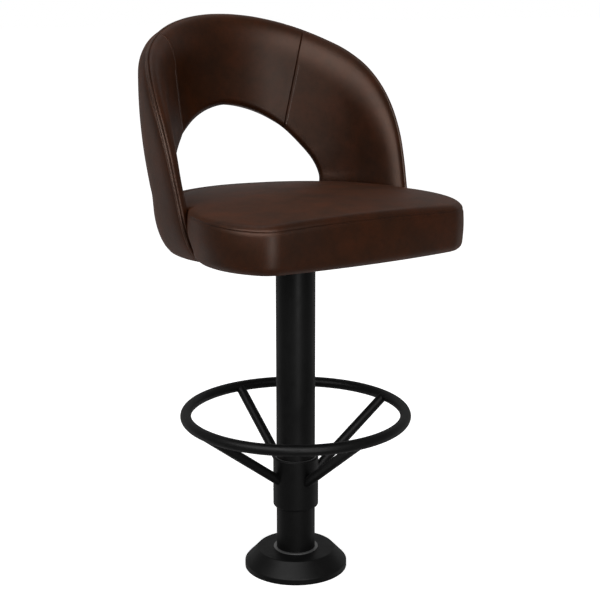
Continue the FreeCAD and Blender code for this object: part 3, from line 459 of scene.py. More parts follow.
def make_mesh(name, points, loop_u=False, loop_v=False, cap=False):
    """Mesh of a grid of points [u, v, xyz] in millimetres."""
    nu, nv = points.shape[:2]
    verts = (points.reshape(-1, 3) * MM).tolist()
    faces = []
    for i in range(nu if loop_u else nu - 1):
        for j in range(nv if loop_v else nv - 1):
            a = i * nv + j
            b = i * nv + (j + 1) % nv
            c = ((i + 1) % nu) * nv + (j + 1) % nv
            d = ((i + 1) % nu) * nv + j
            faces.append((a, b, c, d))
    if cap:
        for ring, order in ((0, 1), (nu - 1, -1)):
            centre = len(verts)
            verts.append((points[ring].mean(0) * MM).tolist())
            for j in range(nv):
                a = ring * nv + j
                b = ring * nv + (j + 1) % nv
                faces.append((a, centre, b) if order > 0 else (b, centre, a))
    mesh = bpy.data.meshes.new(name)
    mesh.from_pydata(verts, [], faces)
    mesh.validate()
    mesh.polygons.foreach_set("use_smooth", [True] * len(mesh.polygons))
    obj = bpy.data.objects.new(name, mesh)
    bpy.context.scene.collection.objects.link(obj)
    return obj


def fix_normals(obj):
    """Turns the faces outward where the signed volume says they point in."""
    mesh = obj.data
    mesh.calc_loop_triangles()
    co = np.array([v.co[:] for v in mesh.vertices])
    tri = np.array([t.vertices[:] for t in mesh.loop_triangles])
    a, b, c = co[tri[:, 0]], co[tri[:, 1]], co[tri[:, 2]]
    if (a * np.cross(b, c)).sum() < 0:
        mesh.flip_normals()
    return obj


# Profiles across the back
def panel_profile(r):
    """Outer leather panel: rolled at the rim and at the opening, closed round its inner face."""
    s = spread(PANEL_POINTS)[None, :]
    w0 = PANEL_START
    w1 = (r.width - PANEL_EDGE_GAP * r.edge)[:, None]
    w = w0 + (w1 - w0) * s
    roll = np.minimum(PANEL_ROLL, ROLL_SHARE * r.width)[:, None]
    rim = quarter((w - w0) / roll, 2.0)
    edge_roll = np.maximum(PANEL_EDGE_ROLL * r.edge, 0.01)[:, None]
    opening = 1.0 - r.edge[:, None] * (1.0 - quarter((w1 - w) / edge_roll, PANEL_EDGE_POWER))
    crown = PANEL_CROWN * np.sin(np.pi * s)
    t = PANEL_LIP_DEPTH - (r.bulge[:, None] + PANEL_LIP_DEPTH + crown) * rim * opening
    back_w = w1 - (w1 - w0) * np.linspace(0.0, 1.0, PANEL_INNER_POINTS)[None, :]
    back_t = np.full_like(back_w, PANEL_BACK)
    return r.at(np.concatenate([w, back_w], 1), np.concatenate([t, back_t], 1))


def smooth_step(x):
    x = np.clip(x, 0.0, 1.0)
    return x * x * (3 - 2 * x)


def pad_face(r, w, w1):
    """Depth of the padding's front face before its edges roll over."""
    depth = PAD_DEPTH + r.foot * (PAD_FOOT_DEPTH - PAD_DEPTH)
    depth = depth + (PAD_UPPER_DEPTH - PAD_DEPTH) * smooth_step(
        (r.mid_z - PAD_UPPER_FROM_Z) / (PAD_UPPER_TO_Z - PAD_UPPER_FROM_Z))
    return depth[:, None] + PAD_CROWN * np.sin(np.pi * np.clip(w / w1, 0, 1))


def pad_front(r, w1):
    """Widths and depths of a pad's face: lip at the piping, broad roll, flat, and the edge at the opening."""
    nose = PAD_NOSE_DEPTH * (1.0 - PAD_NOSE_FOOT_LESS * r.foot)[:, None]
    roll = np.minimum(PAD_ROLL, ROLL_SHARE * w1[:, 0] + PAD_NOSE_OUT)[:, None]
    a = np.radians(np.linspace(0.0, 90.0, 7))[None, :-1]
    lip_w = PAD_LIP_W - (PAD_LIP_W + PAD_NOSE_OUT) * np.sin(a) + 0.0 * roll
    lip_t = nose - (nose - PAD_LIP_DEPTH) * np.cos(a)
    b = np.radians(np.linspace(0.0, 90.0, 19))[None, :-1]
    roll_w = roll - (roll + PAD_NOSE_OUT) * np.cos(b) ** (2.0 / PAD_ROLL_POWER)
    roll_t = nose + (pad_face(r, roll_w, w1) - nose) * np.sin(b) ** (2.0 / PAD_ROLL_POWER)
    edge = np.maximum(PAD_EDGE_ROLL * r.edge, PAD_EDGE_ROLL_LEAST)[:, None]
    flat_end = w1 - edge
    flat_w = roll + (flat_end - roll) * np.linspace(0.0, 1.0, 18)[None, :-1]
    flat_t = pad_face(r, flat_w, w1)
    turn = math.sin(math.radians(PAD_EDGE_TURN))
    c = np.radians(np.linspace(0.0, PAD_EDGE_TURN, 10))[None, :]
    edge_w = flat_end + edge * np.sin(c) / turn
    edge_t = pad_face(r, edge_w, w1) - edge * (1.0 - np.cos(c)) / turn
    first, second = (edge_t[:, -1:] - drop for drop in PAD_CORNER_DROPS)
    shut = np.clip(PAD_SHUT_RATE * r.edge, 0.0, 1.0)[:, None]
    edge_w = np.concatenate([edge_w, w1, w1, w1, w1], 1)
    edge_t = np.concatenate([edge_t, first, second, second * (1.0 - 0.5 * shut), second * (1.0 - shut)], 1)
    widths = np.concatenate([lip_w, roll_w, flat_w, edge_w], 1)
    return widths, np.concatenate([lip_t, roll_t, flat_t, edge_t], 1)


def seam_dip(u, t):
    """Pulls the padding down into the sewn joint at each seam station."""
    for s in SEAM_U:
        x = np.abs(u - s)[:, None]
        dip = SEAM_DEPTH * np.exp(-(x / SEAM_WIDTH) ** 2) + SEAM_PILLOW * np.exp(-x / SEAM_PILLOW_REACH)
        t = t - dip * np.clip(t / SEAM_FULL_DEPTH, 0.0, 1.0)
    return t


def pad_profile(r, strip=False):
    """Closed section of a pad, or of the narrow strip that runs on from it down the foot."""
    if strip:
        w1 = np.full(len(r.u), PAD_STRIP_W)[:, None]
    else:
        w1 = (r.width - PAD_EDGE_GAP * r.edge)[:, None]
    w, t = pad_front(r, w1)
    t = seam_dip(r.u, t)
    inner_end = w1 - PAD_INNER_SHORT
    back_w = inner_end - (inner_end - PAD_INNER_W) * np.linspace(0.0, 1.0, PAD_INNER_POINTS)[None, :]
    back_t = np.full_like(back_w, PAD_BACK)
    lip_w = np.concatenate([np.full_like(w1, PAD_INNER_W), np.full_like(w1, PAD_TUCK_W)], 1)
    lip_t = np.full_like(lip_w, PAD_TUCK_DEPTH)
    return r.at(np.concatenate([w, back_w, lip_w], 1), np.concatenate([t, back_t, lip_t], 1))


def piping_points(r):
    a = np.linspace(0, 2 * np.pi, PIPING_POINTS, endpoint=False)[None, :]
    long_wave = PIPING_LONG_WAVE * np.sin(r.u / PIPING_LONG_PITCH)[:, None]
    short_wave = PIPING_SHORT_WAVE * np.sin(r.u / PIPING_SHORT_PITCH + PIPING_SHORT_START)[:, None]
    wobble = 1.0 + long_wave + short_wave
    w = -PIPING_OUT + PIPING_R * wobble * np.cos(a)
    t = PIPING_DEPTH + PIPING_R * wobble * np.sin(a)
    return r.at(w, t)


def back_pieces():
    """The outer panel, the piping, and the pads with their foot strips last."""
    whole = Ribbon(ROWS, KNOTS, stations(KNOTS[0], KNOTS[-1], STATION_STEP))
    panel = fix_normals(make_mesh("back_panel", panel_profile(whole), loop_v=True, cap=True))
    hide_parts("back_cover")
    piping = fix_normals(make_mesh("rim_piping_cord", piping_points(whole), loop_v=True, cap=True))
    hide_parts("rim_piping")
    pads = []
    runs = (("back_pad_right", STRIP_U[0], SEAM_U[0], "pad_right"),
            ("back_pad_centre", SEAM_U[0], SEAM_U[1], "pad_centre"),
            ("back_pad_left", SEAM_U[1], STRIP_U[1], "pad_left"))
    for name, start, end, node in runs:
        r = Ribbon(ROWS, KNOTS, stations(start, end, STATION_STEP, SEAM_U))
        pad = fix_normals(make_mesh(name, pad_profile(r), loop_v=True, cap=True))
        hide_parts(node)
        pads.append(pad)
    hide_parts("opening_facing")
    for name, start, end in (("pad_foot_right", KNOTS[0] + FOOT_STRIP_SHORT, STRIP_U[0]),
                             ("pad_foot_left", STRIP_U[1], KNOTS[-1] - FOOT_STRIP_SHORT)):
        r = Ribbon(ROWS, KNOTS, stations(start, end, FOOT_STATION_STEP))
        foot = fix_normals(make_mesh(name, pad_profile(r, strip=True), loop_v=True, cap=True))
        pads.append(foot)
    return panel, piping, pads


def lower_back():
    """Leather over the rail behind the seat: outer face, rolled top edge and inner face."""
    end = ARCH_FOOT_ANGLE - WRAP_END_GAP
    angles = np.radians(np.linspace(-end, end, WRAP_STATIONS))
    outer_z = [foot_z(s) for s in np.linspace(CURL_ANGLE, WRAP_OUTER_TOP, WRAP_OUTER_POINTS)]
    profile = [(base_circle(z)[0] + BULGE_FOOT, z) for z in outer_z]
    outer_r = base_circle(WRAP_TOP_Z)[0] + BULGE_FOOT
    inner_r = base_circle(WRAP_TOP_Z)[0] - PAD_DEPTH
    mid_r = 0.5 * (outer_r + inner_r)
    half = 0.5 * (outer_r - inner_r)
    for k in range(WRAP_TOP_POINTS):
        a = math.pi * k / (WRAP_TOP_POINTS - 1)
        rise = WRAP_TOP_RISE * math.sin(a) ** WRAP_TOP_POWER
        profile.append((mid_r + half * math.cos(a), WRAP_TOP_Z - WRAP_TOP_DROP + rise))
    for step in WRAP_FRONT_STEPS:
        z = foot_z(step)
        depth = PAD_DEPTH + step / CURL_ANGLE * (PAD_FOOT_DEPTH - PAD_DEPTH)
        profile.append((base_circle(z)[0] - depth, z))
    for steps, depth in ((WRAP_INNER_STEPS, PAD_BACK), (WRAP_PANEL_STEPS, PANEL_BACK)):
        for step in steps:
            z = foot_z(step)
            profile.append((base_circle(z)[0] - depth, z))
    profile = np.array(profile)
    points = np.zeros((len(angles), len(profile), 3))
    points[:, :, 0] = np.sin(angles)[:, None] * profile[None, :, 0]
    points[:, :, 1] = SHELL_CY + np.cos(angles)[:, None] * profile[None, :, 0]
    points[:, :, 2] = profile[None, :, 1]
    wrap = fix_normals(make_mesh("lower_back_wrap", points, loop_v=True, cap=True))
    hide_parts("lower_back_cover", "lower_back_lining")
    return wrap


# Seat
def meet(c1, r1, c2, r2, side):
    """Point where two circles cross, on the chosen side of the line between their centres."""
    gap = c2 - c1
    d = np.linalg.norm(gap)
    a = (r1 * r1 - r2 * r2 + d * d) / (2.0 * d)
    h = math.sqrt(max(0.0, r1 * r1 - a * a))
    u = gap / d
    return c1 + u * a + np.array([-u[1], u[0]]) * side * h


def arc_points(centre, start, end, count):
    a0 = math.atan2(start[1] - centre[1], start[0] - centre[0])
    a1 = math.atan2(end[1] - centre[1], end[0] - centre[0])
    while a1 - a0 > math.pi:
        a1 -= 2 * math.pi
    while a1 - a0 < -math.pi:
        a1 += 2 * math.pi
    a = np.linspace(a0, a1, count, endpoint=False)
    radius = np.linalg.norm(start - centre)
    return np.stack([centre[0] + radius * np.cos(a), centre[1] + radius * np.sin(a)], 1)


def toward(centre, other, radius):
    """Point on the circle round the centre, in the direction of the other point."""
    u = other - centre
    return centre + u / np.linalg.norm(u) * radius


def wing_path(rear_c, rear_r, start):
    """The seat's rear edge: from the side into the wing's roll and round to the rear middle."""
    rim = math.acos((RIM_FOOT_Y - SHELL_CY) / SHELL_R)
    gap = start - rear_c
    a = np.linspace(math.atan2(gap[0], gap[1]), 0.0, SEAT_WING_POINTS)
    w = (rim - a) * SHELL_R
    share = np.clip((PAD_ROLL - w) / (PAD_ROLL + PAD_NOSE_OUT), 0.0, 1.0)
    depth = (1.0 - share ** PAD_ROLL_POWER) ** (1.0 / PAD_ROLL_POWER)
    press = SEAT_WING_PRESS * np.clip(share * SEAT_WING_PRESS_RATE, 0.0, 1.0)
    r = rear_r + (PAD_DEPTH - PAD_NOSE_DEPTH) * (1.0 - depth) + press
    side_r = np.linalg.norm(gap)
    r = side_r + (r - side_r) * smooth_step((w - w[0]) / SEAT_WING_MEET)
    return np.stack([rear_c[0] + r * np.sin(a), rear_c[1] + r * np.cos(a)], 1)


def resample(points, count):
    """As many points again, evenly spaced along the same path."""
    along = np.concatenate([[0.0], np.cumsum(np.linalg.norm(np.diff(points, axis=0), axis=1))])
    at = np.linspace(0.0, along[-1], count)
    return np.stack([np.interp(at, along, points[:, k]) for k in (0, 1)], 1)


def seat_outline(inset, rear_r, tuck=0.0):
    """Plan of the seat as points from the front middle, right side first and back round the left side.

    A tuck pulls the side in towards the back and leaves the front corner where it is.
    """
    front_c = np.array([0.0, SEAT_FRONT_R - SEAT_FRONT_Y])
    side_c = np.array([SEAT_SIDE_X, SEAT_SIDE_Y])
    rear_c = np.array([0.0, SHELL_CY])
    corner_c = max((meet(front_c, SEAT_FRONT_R - SEAT_CORNER_R, side_c, SEAT_SIDE_R - SEAT_CORNER_R, s)
                    for s in (1, -1)), key=lambda p: p[0] - p[1])
    side_c = side_c + (corner_c - side_c) / np.linalg.norm(corner_c - side_c) * tuck
    front_r = SEAT_FRONT_R - inset
    side_r = SEAT_SIDE_R - tuck - inset
    p1 = toward(front_c, corner_c, front_r)
    p2 = toward(side_c, corner_c, side_r)
    y3 = RIM_FOOT_Y - SEAT_WING_START
    p3 = np.array([side_c[0] + math.sqrt(side_r ** 2 - (y3 - side_c[1]) ** 2), y3])
    rest = resample(wing_path(rear_c, rear_r, p3), SEAT_REAR_STATIONS)
    front = np.array([0.0, front_c[1] - front_r])
    right = np.concatenate([
        arc_points(front_c, front, p1, SEAT_FRONT_STATIONS),
        arc_points(corner_c, p1, p2, SEAT_CORNER_STATIONS),
        arc_points(side_c, p2, p3, SEAT_SIDE_STATIONS), rest])
    left = right[1:-1][::-1] * np.array([-1.0, 1.0])
    return np.concatenate([right, left])


def held_by_wing(xy):
    """How far the wing holds the seat's top edge up: 1 along the wing, 0 in front of it and behind."""
    behind = smooth_step((xy[:, 1] - RIM_FOOT_Y) / SEAT_HOLD_BEHIND)
    angle = np.degrees(np.arctan2(np.abs(xy[:, 0]), xy[:, 1] - SHELL_CY))
    return behind * smooth_step((angle - ARCH_FOOT_ANGLE) / SEAT_HOLD_ANGLE)


def crease_z(xy):
    """Height of the sewn crease, lower at the rear and at the front corners."""
    drop = SEAT_REAR_DROP * smooth_step((xy[:, 1] - SEAT_REAR_DROP_FROM_Y) / SEAT_REAR_DROP_LENGTH)
    for side in (1, -1):
        d2 = (xy[:, 0] - side * SEAT_CREASE_CORNER) ** 2 + (xy[:, 1] + SEAT_CREASE_CORNER) ** 2
        drop += SEAT_CREASE_DROP * np.exp(-d2 / (2 * SEAT_CREASE_SPREAD ** 2))
    return SEAT_CREASE_Z - drop


def dome_z(xy):
    return SEAT_TOP_Z - (xy[:, 0] ** 2 + (xy[:, 1] - SEAT_DOME_Y) ** 2) / (2 * SEAT_DOME_R)


def seat_rings():
    """Rings of points from the middle of the underside up the boxing, into the crease and over the crown."""
    inside_r = SHELL_R - PAD_DEPTH - PAD_CROWN - SEAT_REAR_GAP
    rings = []

    def add(xy, z):
        rings.append(np.column_stack([xy, np.broadcast_to(z, len(xy))]))

    low_r = inside_r - SEAT_REAR_TUCK
    inner = seat_outline(SEAT_UNDER_INSET, low_r - SEAT_UNDER_INSET, SEAT_SIDE_TUCK)
    for share in SEAT_UNDER_SHARES:
        add(inner * share, SEAT_UNDER_Z)
    add(seat_outline(SEAT_LIP_INSET, low_r - SEAT_LIP_INSET, SEAT_SIDE_TUCK), SEAT_BOTTOM_Z + SEAT_LIP_RISE)
    for k in range(SEAT_BOTTOM_STEPS + 1):
        a = math.radians(90.0 * k / SEAT_BOTTOM_STEPS)
        inset = SEAT_BOTTOM_ROUND * (1.0 - math.sin(a))
        z = SEAT_BOTTOM_Z + SEAT_BOTTOM_ROUND * (1.0 - math.cos(a))
        add(seat_outline(inset, low_r - inset, SEAT_SIDE_TUCK), z)
    lower_z = SEAT_BOTTOM_Z + SEAT_BOTTOM_ROUND
    crease_plan = seat_outline(0.0, inside_r)
    hold = held_by_wing(crease_plan)
    top_z = crease_z(crease_plan)
    top_z = top_z + (dome_z(crease_plan) - SEAT_HOLD_DROP - top_z) * hold
    for share in SEAT_BOXING_SHARES:
        level = lower_z + share * (SEAT_CREASE_Z - lower_z)
        tuck = SEAT_SIDE_TUCK * float(smooth_step((SEAT_TUCK_TOP_Z - level) / SEAT_TUCK_H))
        rear = inside_r - SEAT_REAR_TUCK * (1.0 - share) ** SEAT_REAR_TUCK_POWER
        drawn = max(0.0, share - SEAT_BOXING_DRAW_FROM) / (1.0 - SEAT_BOXING_DRAW_FROM)
        out = SEAT_BOXING_SWELL * math.sin(math.pi * share) - SEAT_BOXING_DRAW * drawn
        add(seat_outline(-out, rear + out, tuck), lower_z + share * (top_z - lower_z))
    add(seat_outline(SEAT_CREASE_INSET, inside_r - SEAT_CREASE_INSET), top_z)
    for inset, rise in SEAT_WELT_STEPS:
        add(seat_outline(inset, inside_r - inset), top_z + rise)
    edge_z = top_z + SEAT_EDGE_RISE
    for inset in SEAT_EDGE_INSETS:
        plan = seat_outline(inset, inside_r - inset)
        share = 1.0 - (1.0 - min(1.0, (inset - SEAT_EDGE_START) / SEAT_EDGE_REACH)) ** SEAT_EDGE_POWER
        share = share + (1.0 - share) * hold
        add(plan, edge_z + (dome_z(plan) - edge_z) * share)
    for share in SEAT_CROWN_SHARES:
        inward = plan * share + np.array([0.0, SEAT_DOME_Y * SEAT_CROWN_SHIFT]) * (1 - share)
        add(inward, dome_z(inward))
    return np.array(rings)


def seat_piece():
    cushion = fix_normals(make_mesh("seat_upholstery", seat_rings(), loop_v=True, cap=True))
    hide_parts("seat_cushion")
    return cushion


# Seam stitches on the inside of the back
def stitch_ends(r, w):
    """Both ends of one stitch that starts at a width, on the face of the padding."""
    ends = []
    for x in (w, w + STITCH_LENGTH):
        ws = np.array([[x]])
        t = seam_dip(r.u, pad_face(r, ws, r.width[:, None])) + STITCH_LIFT
        ends.append(r.at(ws, t)[0, 0])
    return ends


def stitches():
    """One mesh of short thread bars, tapered at both ends."""
    points = []
    faces = []
    n = STITCH_SIDES
    for index, s in enumerate(SEAM_U):
        side = -1 if index == 0 else 1
        r = Ribbon(ROWS, KNOTS, np.array([s + side * STITCH_OFFSET]))
        w = PAD_ROLL
        while w < r.width[0] - PAD_EDGE_ROLL:
            ends = stitch_ends(r, w)
            axis = ends[1] - ends[0]
            axis /= np.linalg.norm(axis)
            up = np.cross(axis, [0, 0, 1.0])
            up /= np.linalg.norm(up)
            other = np.cross(axis, up)
            base = len(points)
            for share, size in STITCH_RINGS:
                c = ends[0] + (ends[1] - ends[0]) * share
                for k in range(n):
                    a = 2 * math.pi * k / n
                    points.append(c + (up * math.cos(a) + other * math.sin(a)) * STITCH_R * size)
            for i in range(len(STITCH_RINGS) - 1):
                for k in range(n):
                    a = base + i * n + k
                    b = base + i * n + (k + 1) % n
                    faces.append((a, b, b + n, a + n))
            faces.append(tuple(base + k for k in reversed(range(n))))
            last = base + (len(STITCH_RINGS) - 1) * n
            faces.append(tuple(last + k for k in range(n)))
            w += STITCH_PITCH
    mesh = bpy.data.meshes.new("seam_stitches")
    mesh.from_pydata([(p * MM).tolist() for p in points], [], faces)
    mesh.validate()
    obj = bpy.data.objects.new("seam_stitches", mesh)
    bpy.context.scene.collection.objects.link(obj)
    return fix_normals(obj)


# Materials
class Nodes:
    """Small helper for building a material's node tree."""

    def __init__(self, name):
        self.material = bpy.data.materials.new(name)
        self.material.use_nodes = True
        self.tree = self.material.node_tree
        self.shader = self.tree.nodes["Principled BSDF"]
        self.place = self.add("ShaderNodeTexCoord").outputs["Object"]

    def add(self, kind, **values):
        node = self.tree.nodes.new(kind)
        for key, value in values.items():
            if key in node.inputs:
                node.inputs[key].default_value = value
            else:
                setattr(node, key, value)
        return node

    def link(self, a, b):
        self.tree.links.new(a, b)

    def noise(self, scale, detail=3.0, roughness=0.5, place=None):
        node = self.add("ShaderNodeTexNoise", Scale=scale, Detail=detail, Roughness=roughness)
        self.link(place or self.place, node.inputs["Vector"])
        return node.outputs["Fac"]

    def stretched(self, scale):
        node = self.add("ShaderNodeMapping")
        node.inputs["Scale"].default_value = scale
        self.link(self.place, node.inputs["Vector"])
        return node.outputs["Vector"]

    def ramp(self, source, stops):
        node = self.add("ShaderNodeValToRGB")
        while len(node.color_ramp.elements) < len(stops):
            node.color_ramp.elements.new(0.5)
        for element, (place, colour) in zip(node.color_ramp.elements, stops):
            element.position = place
            element.color = (*colour, 1.0)
        self.link(source, node.inputs["Fac"])
        return node.outputs["Color"]

    def mix(self, factor, a, b, mode="MIX"):
        node = self.add("ShaderNodeMix", data_type="RGBA", blend_type=mode)
        node.inputs[0].default_value = factor
        self.link(a, node.inputs[6])
        self.link(b, node.inputs[7])
        return node.outputs[2]

    def to_range(self, source, low, high, from_low=0.0, from_high=1.0):
        node = self.add("ShaderNodeMapRange")
        node.inputs["From Min"].default_value = from_low
        node.inputs["From Max"].default_value = from_high
        node.inputs["To Min"].default_value = low
        node.inputs["To Max"].default_value = high
        self.link(source, node.inputs["Value"])
        return node.outputs["Result"]

    def bump(self, height, strength, distance, below=None):
        node = self.add("ShaderNodeBump", Strength=strength, Distance=distance)
        self.link(height, node.inputs["Height"])
        if below is not None:
            self.link(below, node.inputs["Normal"])
        return node.outputs["Normal"]

    def voronoi(self, scale):
        node = self.add("ShaderNodeTexVoronoi", Scale=scale)
        node.feature = "SMOOTH_F1"
        self.link(self.place, node.inputs["Vector"])
        return node.outputs["Distance"]

    def math(self, operation, a, b):
        node = self.add("ShaderNodeMath", operation=operation)
        for socket, value in ((node.inputs[0], a), (node.inputs[1], b)):
            if isinstance(value, float):
                socket.default_value = value
            else:
                self.link(value, socket)
        return node.outputs[0]

    def matt_at_edge(self, rough):
        """Roughness that rises where the surface turns edge on, as worn leather and paint scatter there."""
        facing = self.add("ShaderNodeLayerWeight", Blend=0.5).outputs["Facing"]
        turned = self.to_range(facing, 0.0, 1.0, EDGE_MATT_FROM, EDGE_MATT_TO)
        more = self.math("SUBTRACT", EDGE_MATT_ROUGH, rough)
        return self.math("ADD", rough, self.math("MULTIPLY", turned, more))


def leather(name, tones, rough_range):
    """Patchy waxed leather with darker worn spots and a fine pebble grain."""
    dark, base, warm = tones
    m = Nodes(name)
    warp = m.noise(5.0, 2.0, 0.5)
    cloud = m.noise(16.0, 5.0, 0.62)
    patches = m.ramp(cloud, ((0.36, dark), (0.5, base), (0.68, warm)))
    slow = m.ramp(warp, ((0.38, (0.80, 0.78, 0.78)), (0.62, (1.0, 1.0, 1.0))))
    colour = m.mix(1.0, patches, slow, "MULTIPLY")
    spots = m.noise(85.0, 3.0, 0.6)
    worn = m.ramp(spots, ((0.30, (0.72, 0.70, 0.70)), (0.46, (1.0, 1.0, 1.0))))
    colour = m.mix(0.6, colour, m.mix(1.0, colour, worn, "MULTIPLY"))
    m.link(colour, m.shader.inputs["Base Color"])
    uneven = m.math("ADD", m.noise(30.0, 4.0, 0.6), m.noise(420.0, 2.0, 0.5))
    m.link(m.matt_at_edge(m.to_range(uneven, *rough_range, 0.7, 1.3)), m.shader.inputs["Roughness"])
    m.shader.inputs["Specular IOR Level"].default_value = LEATHER_SPECULAR
    m.shader.inputs["Specular Tint"].default_value = LEATHER_SPECULAR_TINT
    pebble = m.voronoi(900.0)
    fine = m.noise(2600.0, 2.0, 0.5)
    grain = m.math("ADD", m.math("MULTIPLY", pebble, 0.8), m.math("MULTIPLY", fine, 0.25))
    low = m.bump(m.noise(55.0, 4.0, 0.55), 0.15, 0.0010)
    m.link(m.bump(grain, 0.55, 0.00025, low), m.shader.inputs["Normal"])
    return m.material


def powder_coat():
    m = Nodes("powder_coat_look")
    tone = m.ramp(m.noise(40.0, 4.0, 0.6), ((0.35, COAT_TONES[0]), (0.7, COAT_TONES[1])))
    m.link(tone, m.shader.inputs["Base Color"])
    rough = m.to_range(m.noise(70.0, 4.0, 0.6), *COAT_ROUGH, 0.3, 0.7)
    m.link(m.matt_at_edge(rough), m.shader.inputs["Roughness"])
    m.shader.inputs["Specular IOR Level"].default_value = COAT_SPECULAR
    peel = m.noise(420.0, 2.0, 0.4)
    speck = m.noise(2200.0, 1.0, 0.4)
    m.link(m.bump(speck, 0.12, 0.00012, m.bump(peel, 0.20, 0.0004)), m.shader.inputs["Normal"])
    return m.material


def steel(name, tone, rough):
    m = Nodes(name)
    brushed = m.noise(260.0, 3.0, 0.6, m.stretched((1.0, 1.0, 12.0)))
    colour = m.ramp(brushed, ((0.3, tuple(0.82 * c for c in tone)), (0.7, tone)))
    m.link(colour, m.shader.inputs["Base Color"])
    m.shader.inputs["Metallic"].default_value = 1.0
    m.link(m.to_range(brushed, rough - 0.07, rough + 0.08, 0.3, 0.7), m.shader.inputs["Roughness"])
    m.link(m.bump(brushed, 0.15, 0.0001), m.shader.inputs["Normal"])
    return m.material


def plastic():
    m = Nodes("black_plastic_look")
    tone = m.ramp(m.noise(90.0, 2.0, 0.5), ((0.3, (0.018, 0.018, 0.018)), (0.7, (0.026, 0.026, 0.026))))
    m.link(tone, m.shader.inputs["Base Color"])
    m.shader.inputs["Roughness"].default_value = 0.55
    m.link(m.bump(m.noise(1500.0, 2.0, 0.5), 0.1, 0.0001), m.shader.inputs["Normal"])
    return m.material


def plywood():
    m = Nodes("plywood_look")
    grain = m.noise(60.0, 6.0, 0.65, m.stretched((1.0, 9.0, 9.0)))
    tone = m.ramp(grain, ((0.3, (0.42, 0.27, 0.14)), (0.7, (0.63, 0.46, 0.28))))
    m.link(tone, m.shader.inputs["Base Color"])
    m.shader.inputs["Roughness"].default_value = 0.7
    m.link(m.bump(grain, 0.2, 0.0003), m.shader.inputs["Normal"])
    return m.material


def dust_cloth_look():
    m = Nodes("dust_cloth_look")
    fibre = m.noise(900.0, 4.0, 0.7)
    tone = m.ramp(fibre, ((0.35, (0.012, 0.012, 0.013)), (0.7, (0.035, 0.035, 0.037))))
    m.link(tone, m.shader.inputs["Base Color"])
    m.shader.inputs["Roughness"].default_value = 0.95
    m.link(m.bump(fibre, 0.5, 0.0004), m.shader.inputs["Normal"])
    return m.material


def thread_look():
    m = Nodes("thread_look")
    tone = m.ramp(m.noise(3000.0, 2.0, 0.5), ((0.3, (0.030, 0.013, 0.008)), (0.7, (0.055, 0.025, 0.015))))
    m.link(tone, m.shader.inputs["Base Color"])
    m.shader.inputs["Roughness"].default_value = 0.6
    return m.material


def set_material(obj, material):
    obj.data.materials.clear()
    obj.data.materials.append(material)


# Studio
def studio_floor():
    """Floor that keeps the shadow, and shows white far off to the camera, in gloss and through glass."""
    m = Nodes("floor_look")
    m.shader.inputs["Base Color"].default_value = (0.8, 0.8, 0.8, 1.0)
    m.shader.inputs["Roughness"].default_value = 0.9
    m.shader.inputs["Specular IOR Level"].default_value = 0.0
    away = m.add("ShaderNodeVectorMath", operation="LENGTH")
    m.link(m.place, away.inputs[0])
    glow = m.add("ShaderNodeEmission")
    strength = m.to_range(away.outputs["Value"], FLOOR_GLOW_NEAR, 1.0, FLOOR_GLOW_DIM, FLOOR_GLOW_FULL)
    m.link(strength, glow.inputs["Strength"])
    both = m.add("ShaderNodeAddShader")
    pick = m.add("ShaderNodeMixShader")
    path = m.add("ShaderNodeLightPath")
    seen = m.math("MAXIMUM", path.outputs["Is Camera Ray"], path.outputs["Is Transmission Ray"])
    seen = m.math("MAXIMUM", seen, path.outputs["Is Glossy Ray"])
    m.link(m.shader.outputs[0], both.inputs[0])
    m.link(glow.outputs[0], both.inputs[1])
    m.link(seen, pick.inputs[0])
    m.link(m.shader.outputs[0], pick.inputs[1])
    m.link(both.outputs[0], pick.inputs[2])
    m.link(pick.outputs[0], m.tree.nodes["Material Output"].inputs["Surface"])
    corners = [(x * FLOOR_HALF, y * FLOOR_HALF, 0) for x, y in ((-1, -1), (1, -1), (1, 1), (-1, 1))]
    mesh = bpy.data.meshes.new("studio_floor")
    mesh.from_pydata(corners, [], [(0, 1, 2, 3)])
    floor = bpy.data.objects.new("studio_floor", mesh)
    bpy.context.scene.collection.objects.link(floor)
    set_material(floor, m.material)


def studio_world():
    """World that lights at a plain level, and shows white to the camera, in gloss and through glass."""
    world = bpy.data.worlds.new("studio_world")
    bpy.context.scene.world = world
    world.use_nodes = True
    nodes, links = world.node_tree.nodes, world.node_tree.links
    background = nodes["Background"]
    background.inputs["Color"].default_value = (1.0, 1.0, 1.0, 1.0)
    background.inputs["Strength"].default_value = WORLD_LEVEL
    white = nodes.new("ShaderNodeBackground")
    white.inputs["Color"].default_value = (1.0, 1.0, 1.0, 1.0)
    mix = nodes.new("ShaderNodeMixShader")
    light_path = nodes.new("ShaderNodeLightPath")
    seen = light_path.outputs["Is Camera Ray"]
    for other in ("Is Transmission Ray", "Is Glossy Ray"):
        either = nodes.new("ShaderNodeMath")
        either.operation = "MAXIMUM"
        links.new(seen, either.inputs[0])
        links.new(light_path.outputs[other], either.inputs[1])
        seen = either.outputs[0]
    links.new(seen, mix.inputs[0])
    links.new(background.outputs[0], mix.inputs[1])
    links.new(white.outputs[0], mix.inputs[2])
    links.new(mix.outputs[0], nodes["World Output"].inputs["Surface"])


def softbox(name, place, target, width, height, power):
    light = bpy.data.lights.new(name, "AREA")
    light.shape = "RECTANGLE"
    light.size = width
    light.size_y = height
    light.energy = power
    obj = bpy.data.objects.new(name, light)
    bpy.context.scene.collection.objects.link(obj)
    obj.location = from_view(*place)
    obj.rotation_euler = (Vector(target) - obj.location).to_track_quat("-Z", "Y").to_euler()
    return obj


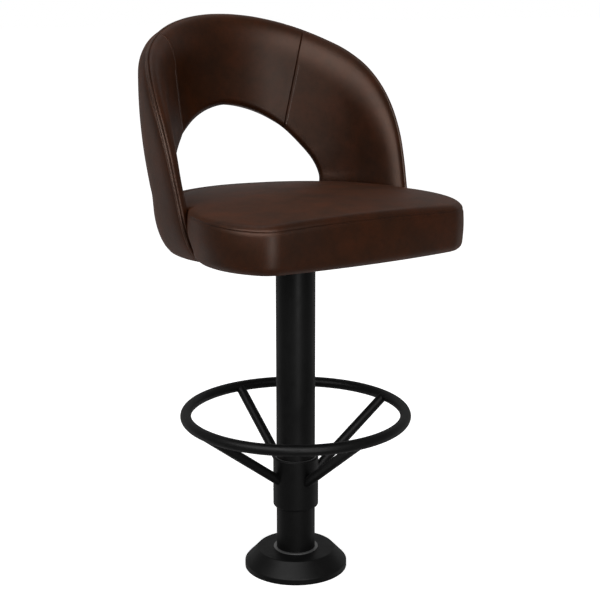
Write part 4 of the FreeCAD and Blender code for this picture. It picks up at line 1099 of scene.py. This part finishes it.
def from_view(right, away, up):
    """Point given as seen from the camera: to its right, away from it past the stool's axis, and up."""
    a = math.radians(CAMERA_TURN)
    return (right * math.cos(a) + away * math.sin(a), -right * math.sin(a) + away * math.cos(a), up)


def camera_and_lights():
    camera = bpy.data.cameras.new("photo_camera")
    camera.lens = CAMERA_LENS
    camera.sensor_width = CAMERA_SENSOR
    obj = bpy.data.objects.new("photo_camera", camera)
    bpy.context.scene.collection.objects.link(obj)
    obj.location = from_view(0.0, -CAMERA_DISTANCE, CAMERA_HEIGHT)
    pitch, yaw = math.radians(CAMERA_PITCH), math.radians(CAMERA_YAW)
    look = from_view(math.sin(yaw) * math.cos(pitch), math.cos(yaw) * math.cos(pitch), -math.sin(pitch))
    obj.rotation_euler = Vector(look).to_track_quat("-Z", "Y").to_euler()
    bpy.context.scene.camera = obj
    for lamp in LAMPS:
        softbox(*lamp)
    for lamp in GLOSS_LAMPS:
        softbox(*lamp).visible_diffuse = False


def dress():
    """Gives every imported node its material, and adds the leather pieces that replace some of them."""
    brown = leather("brown_leather_look", BROWN_TONES, BROWN_ROUGH)
    trim = leather("trim_leather_look", TRIM_TONES, TRIM_ROUGH)
    looks = {
        "powder_coat": powder_coat(),
        "bare_steel": steel("bare_steel_look", (0.42, 0.42, 0.43), 0.45),
        "zinc_hardware": steel("zinc_look", (0.62, 0.63, 0.65), 0.34),
        "ball_steel": steel("ball_look", (0.75, 0.75, 0.77), 0.18),
        "cage_plastic": plastic(),
        "plywood": plywood(),
        "brown_leather": brown,
        "leather_trim": trim,
        "dust_fabric": dust_cloth_look(),
    }
    for part in frame["record"]["subparts"]:
        set_material(frame["nodes"][part["node"]], looks[part["material_slot"]])
    panel, piping, pads = back_pieces()
    wrap = lower_back()
    cushion = seat_piece()
    thread = stitches()
    for piece in (panel, wrap, cushion, *pads):
        set_material(piece, brown)
        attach(piece, "seat")
    set_material(piping, trim)
    set_material(thread, thread_look())
    for piece in (piping, thread):
        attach(piece, "seat")


dress()
studio_floor()
studio_world()
camera_and_lights()
bpy.context.scene.view_settings.view_transform = "Standard"
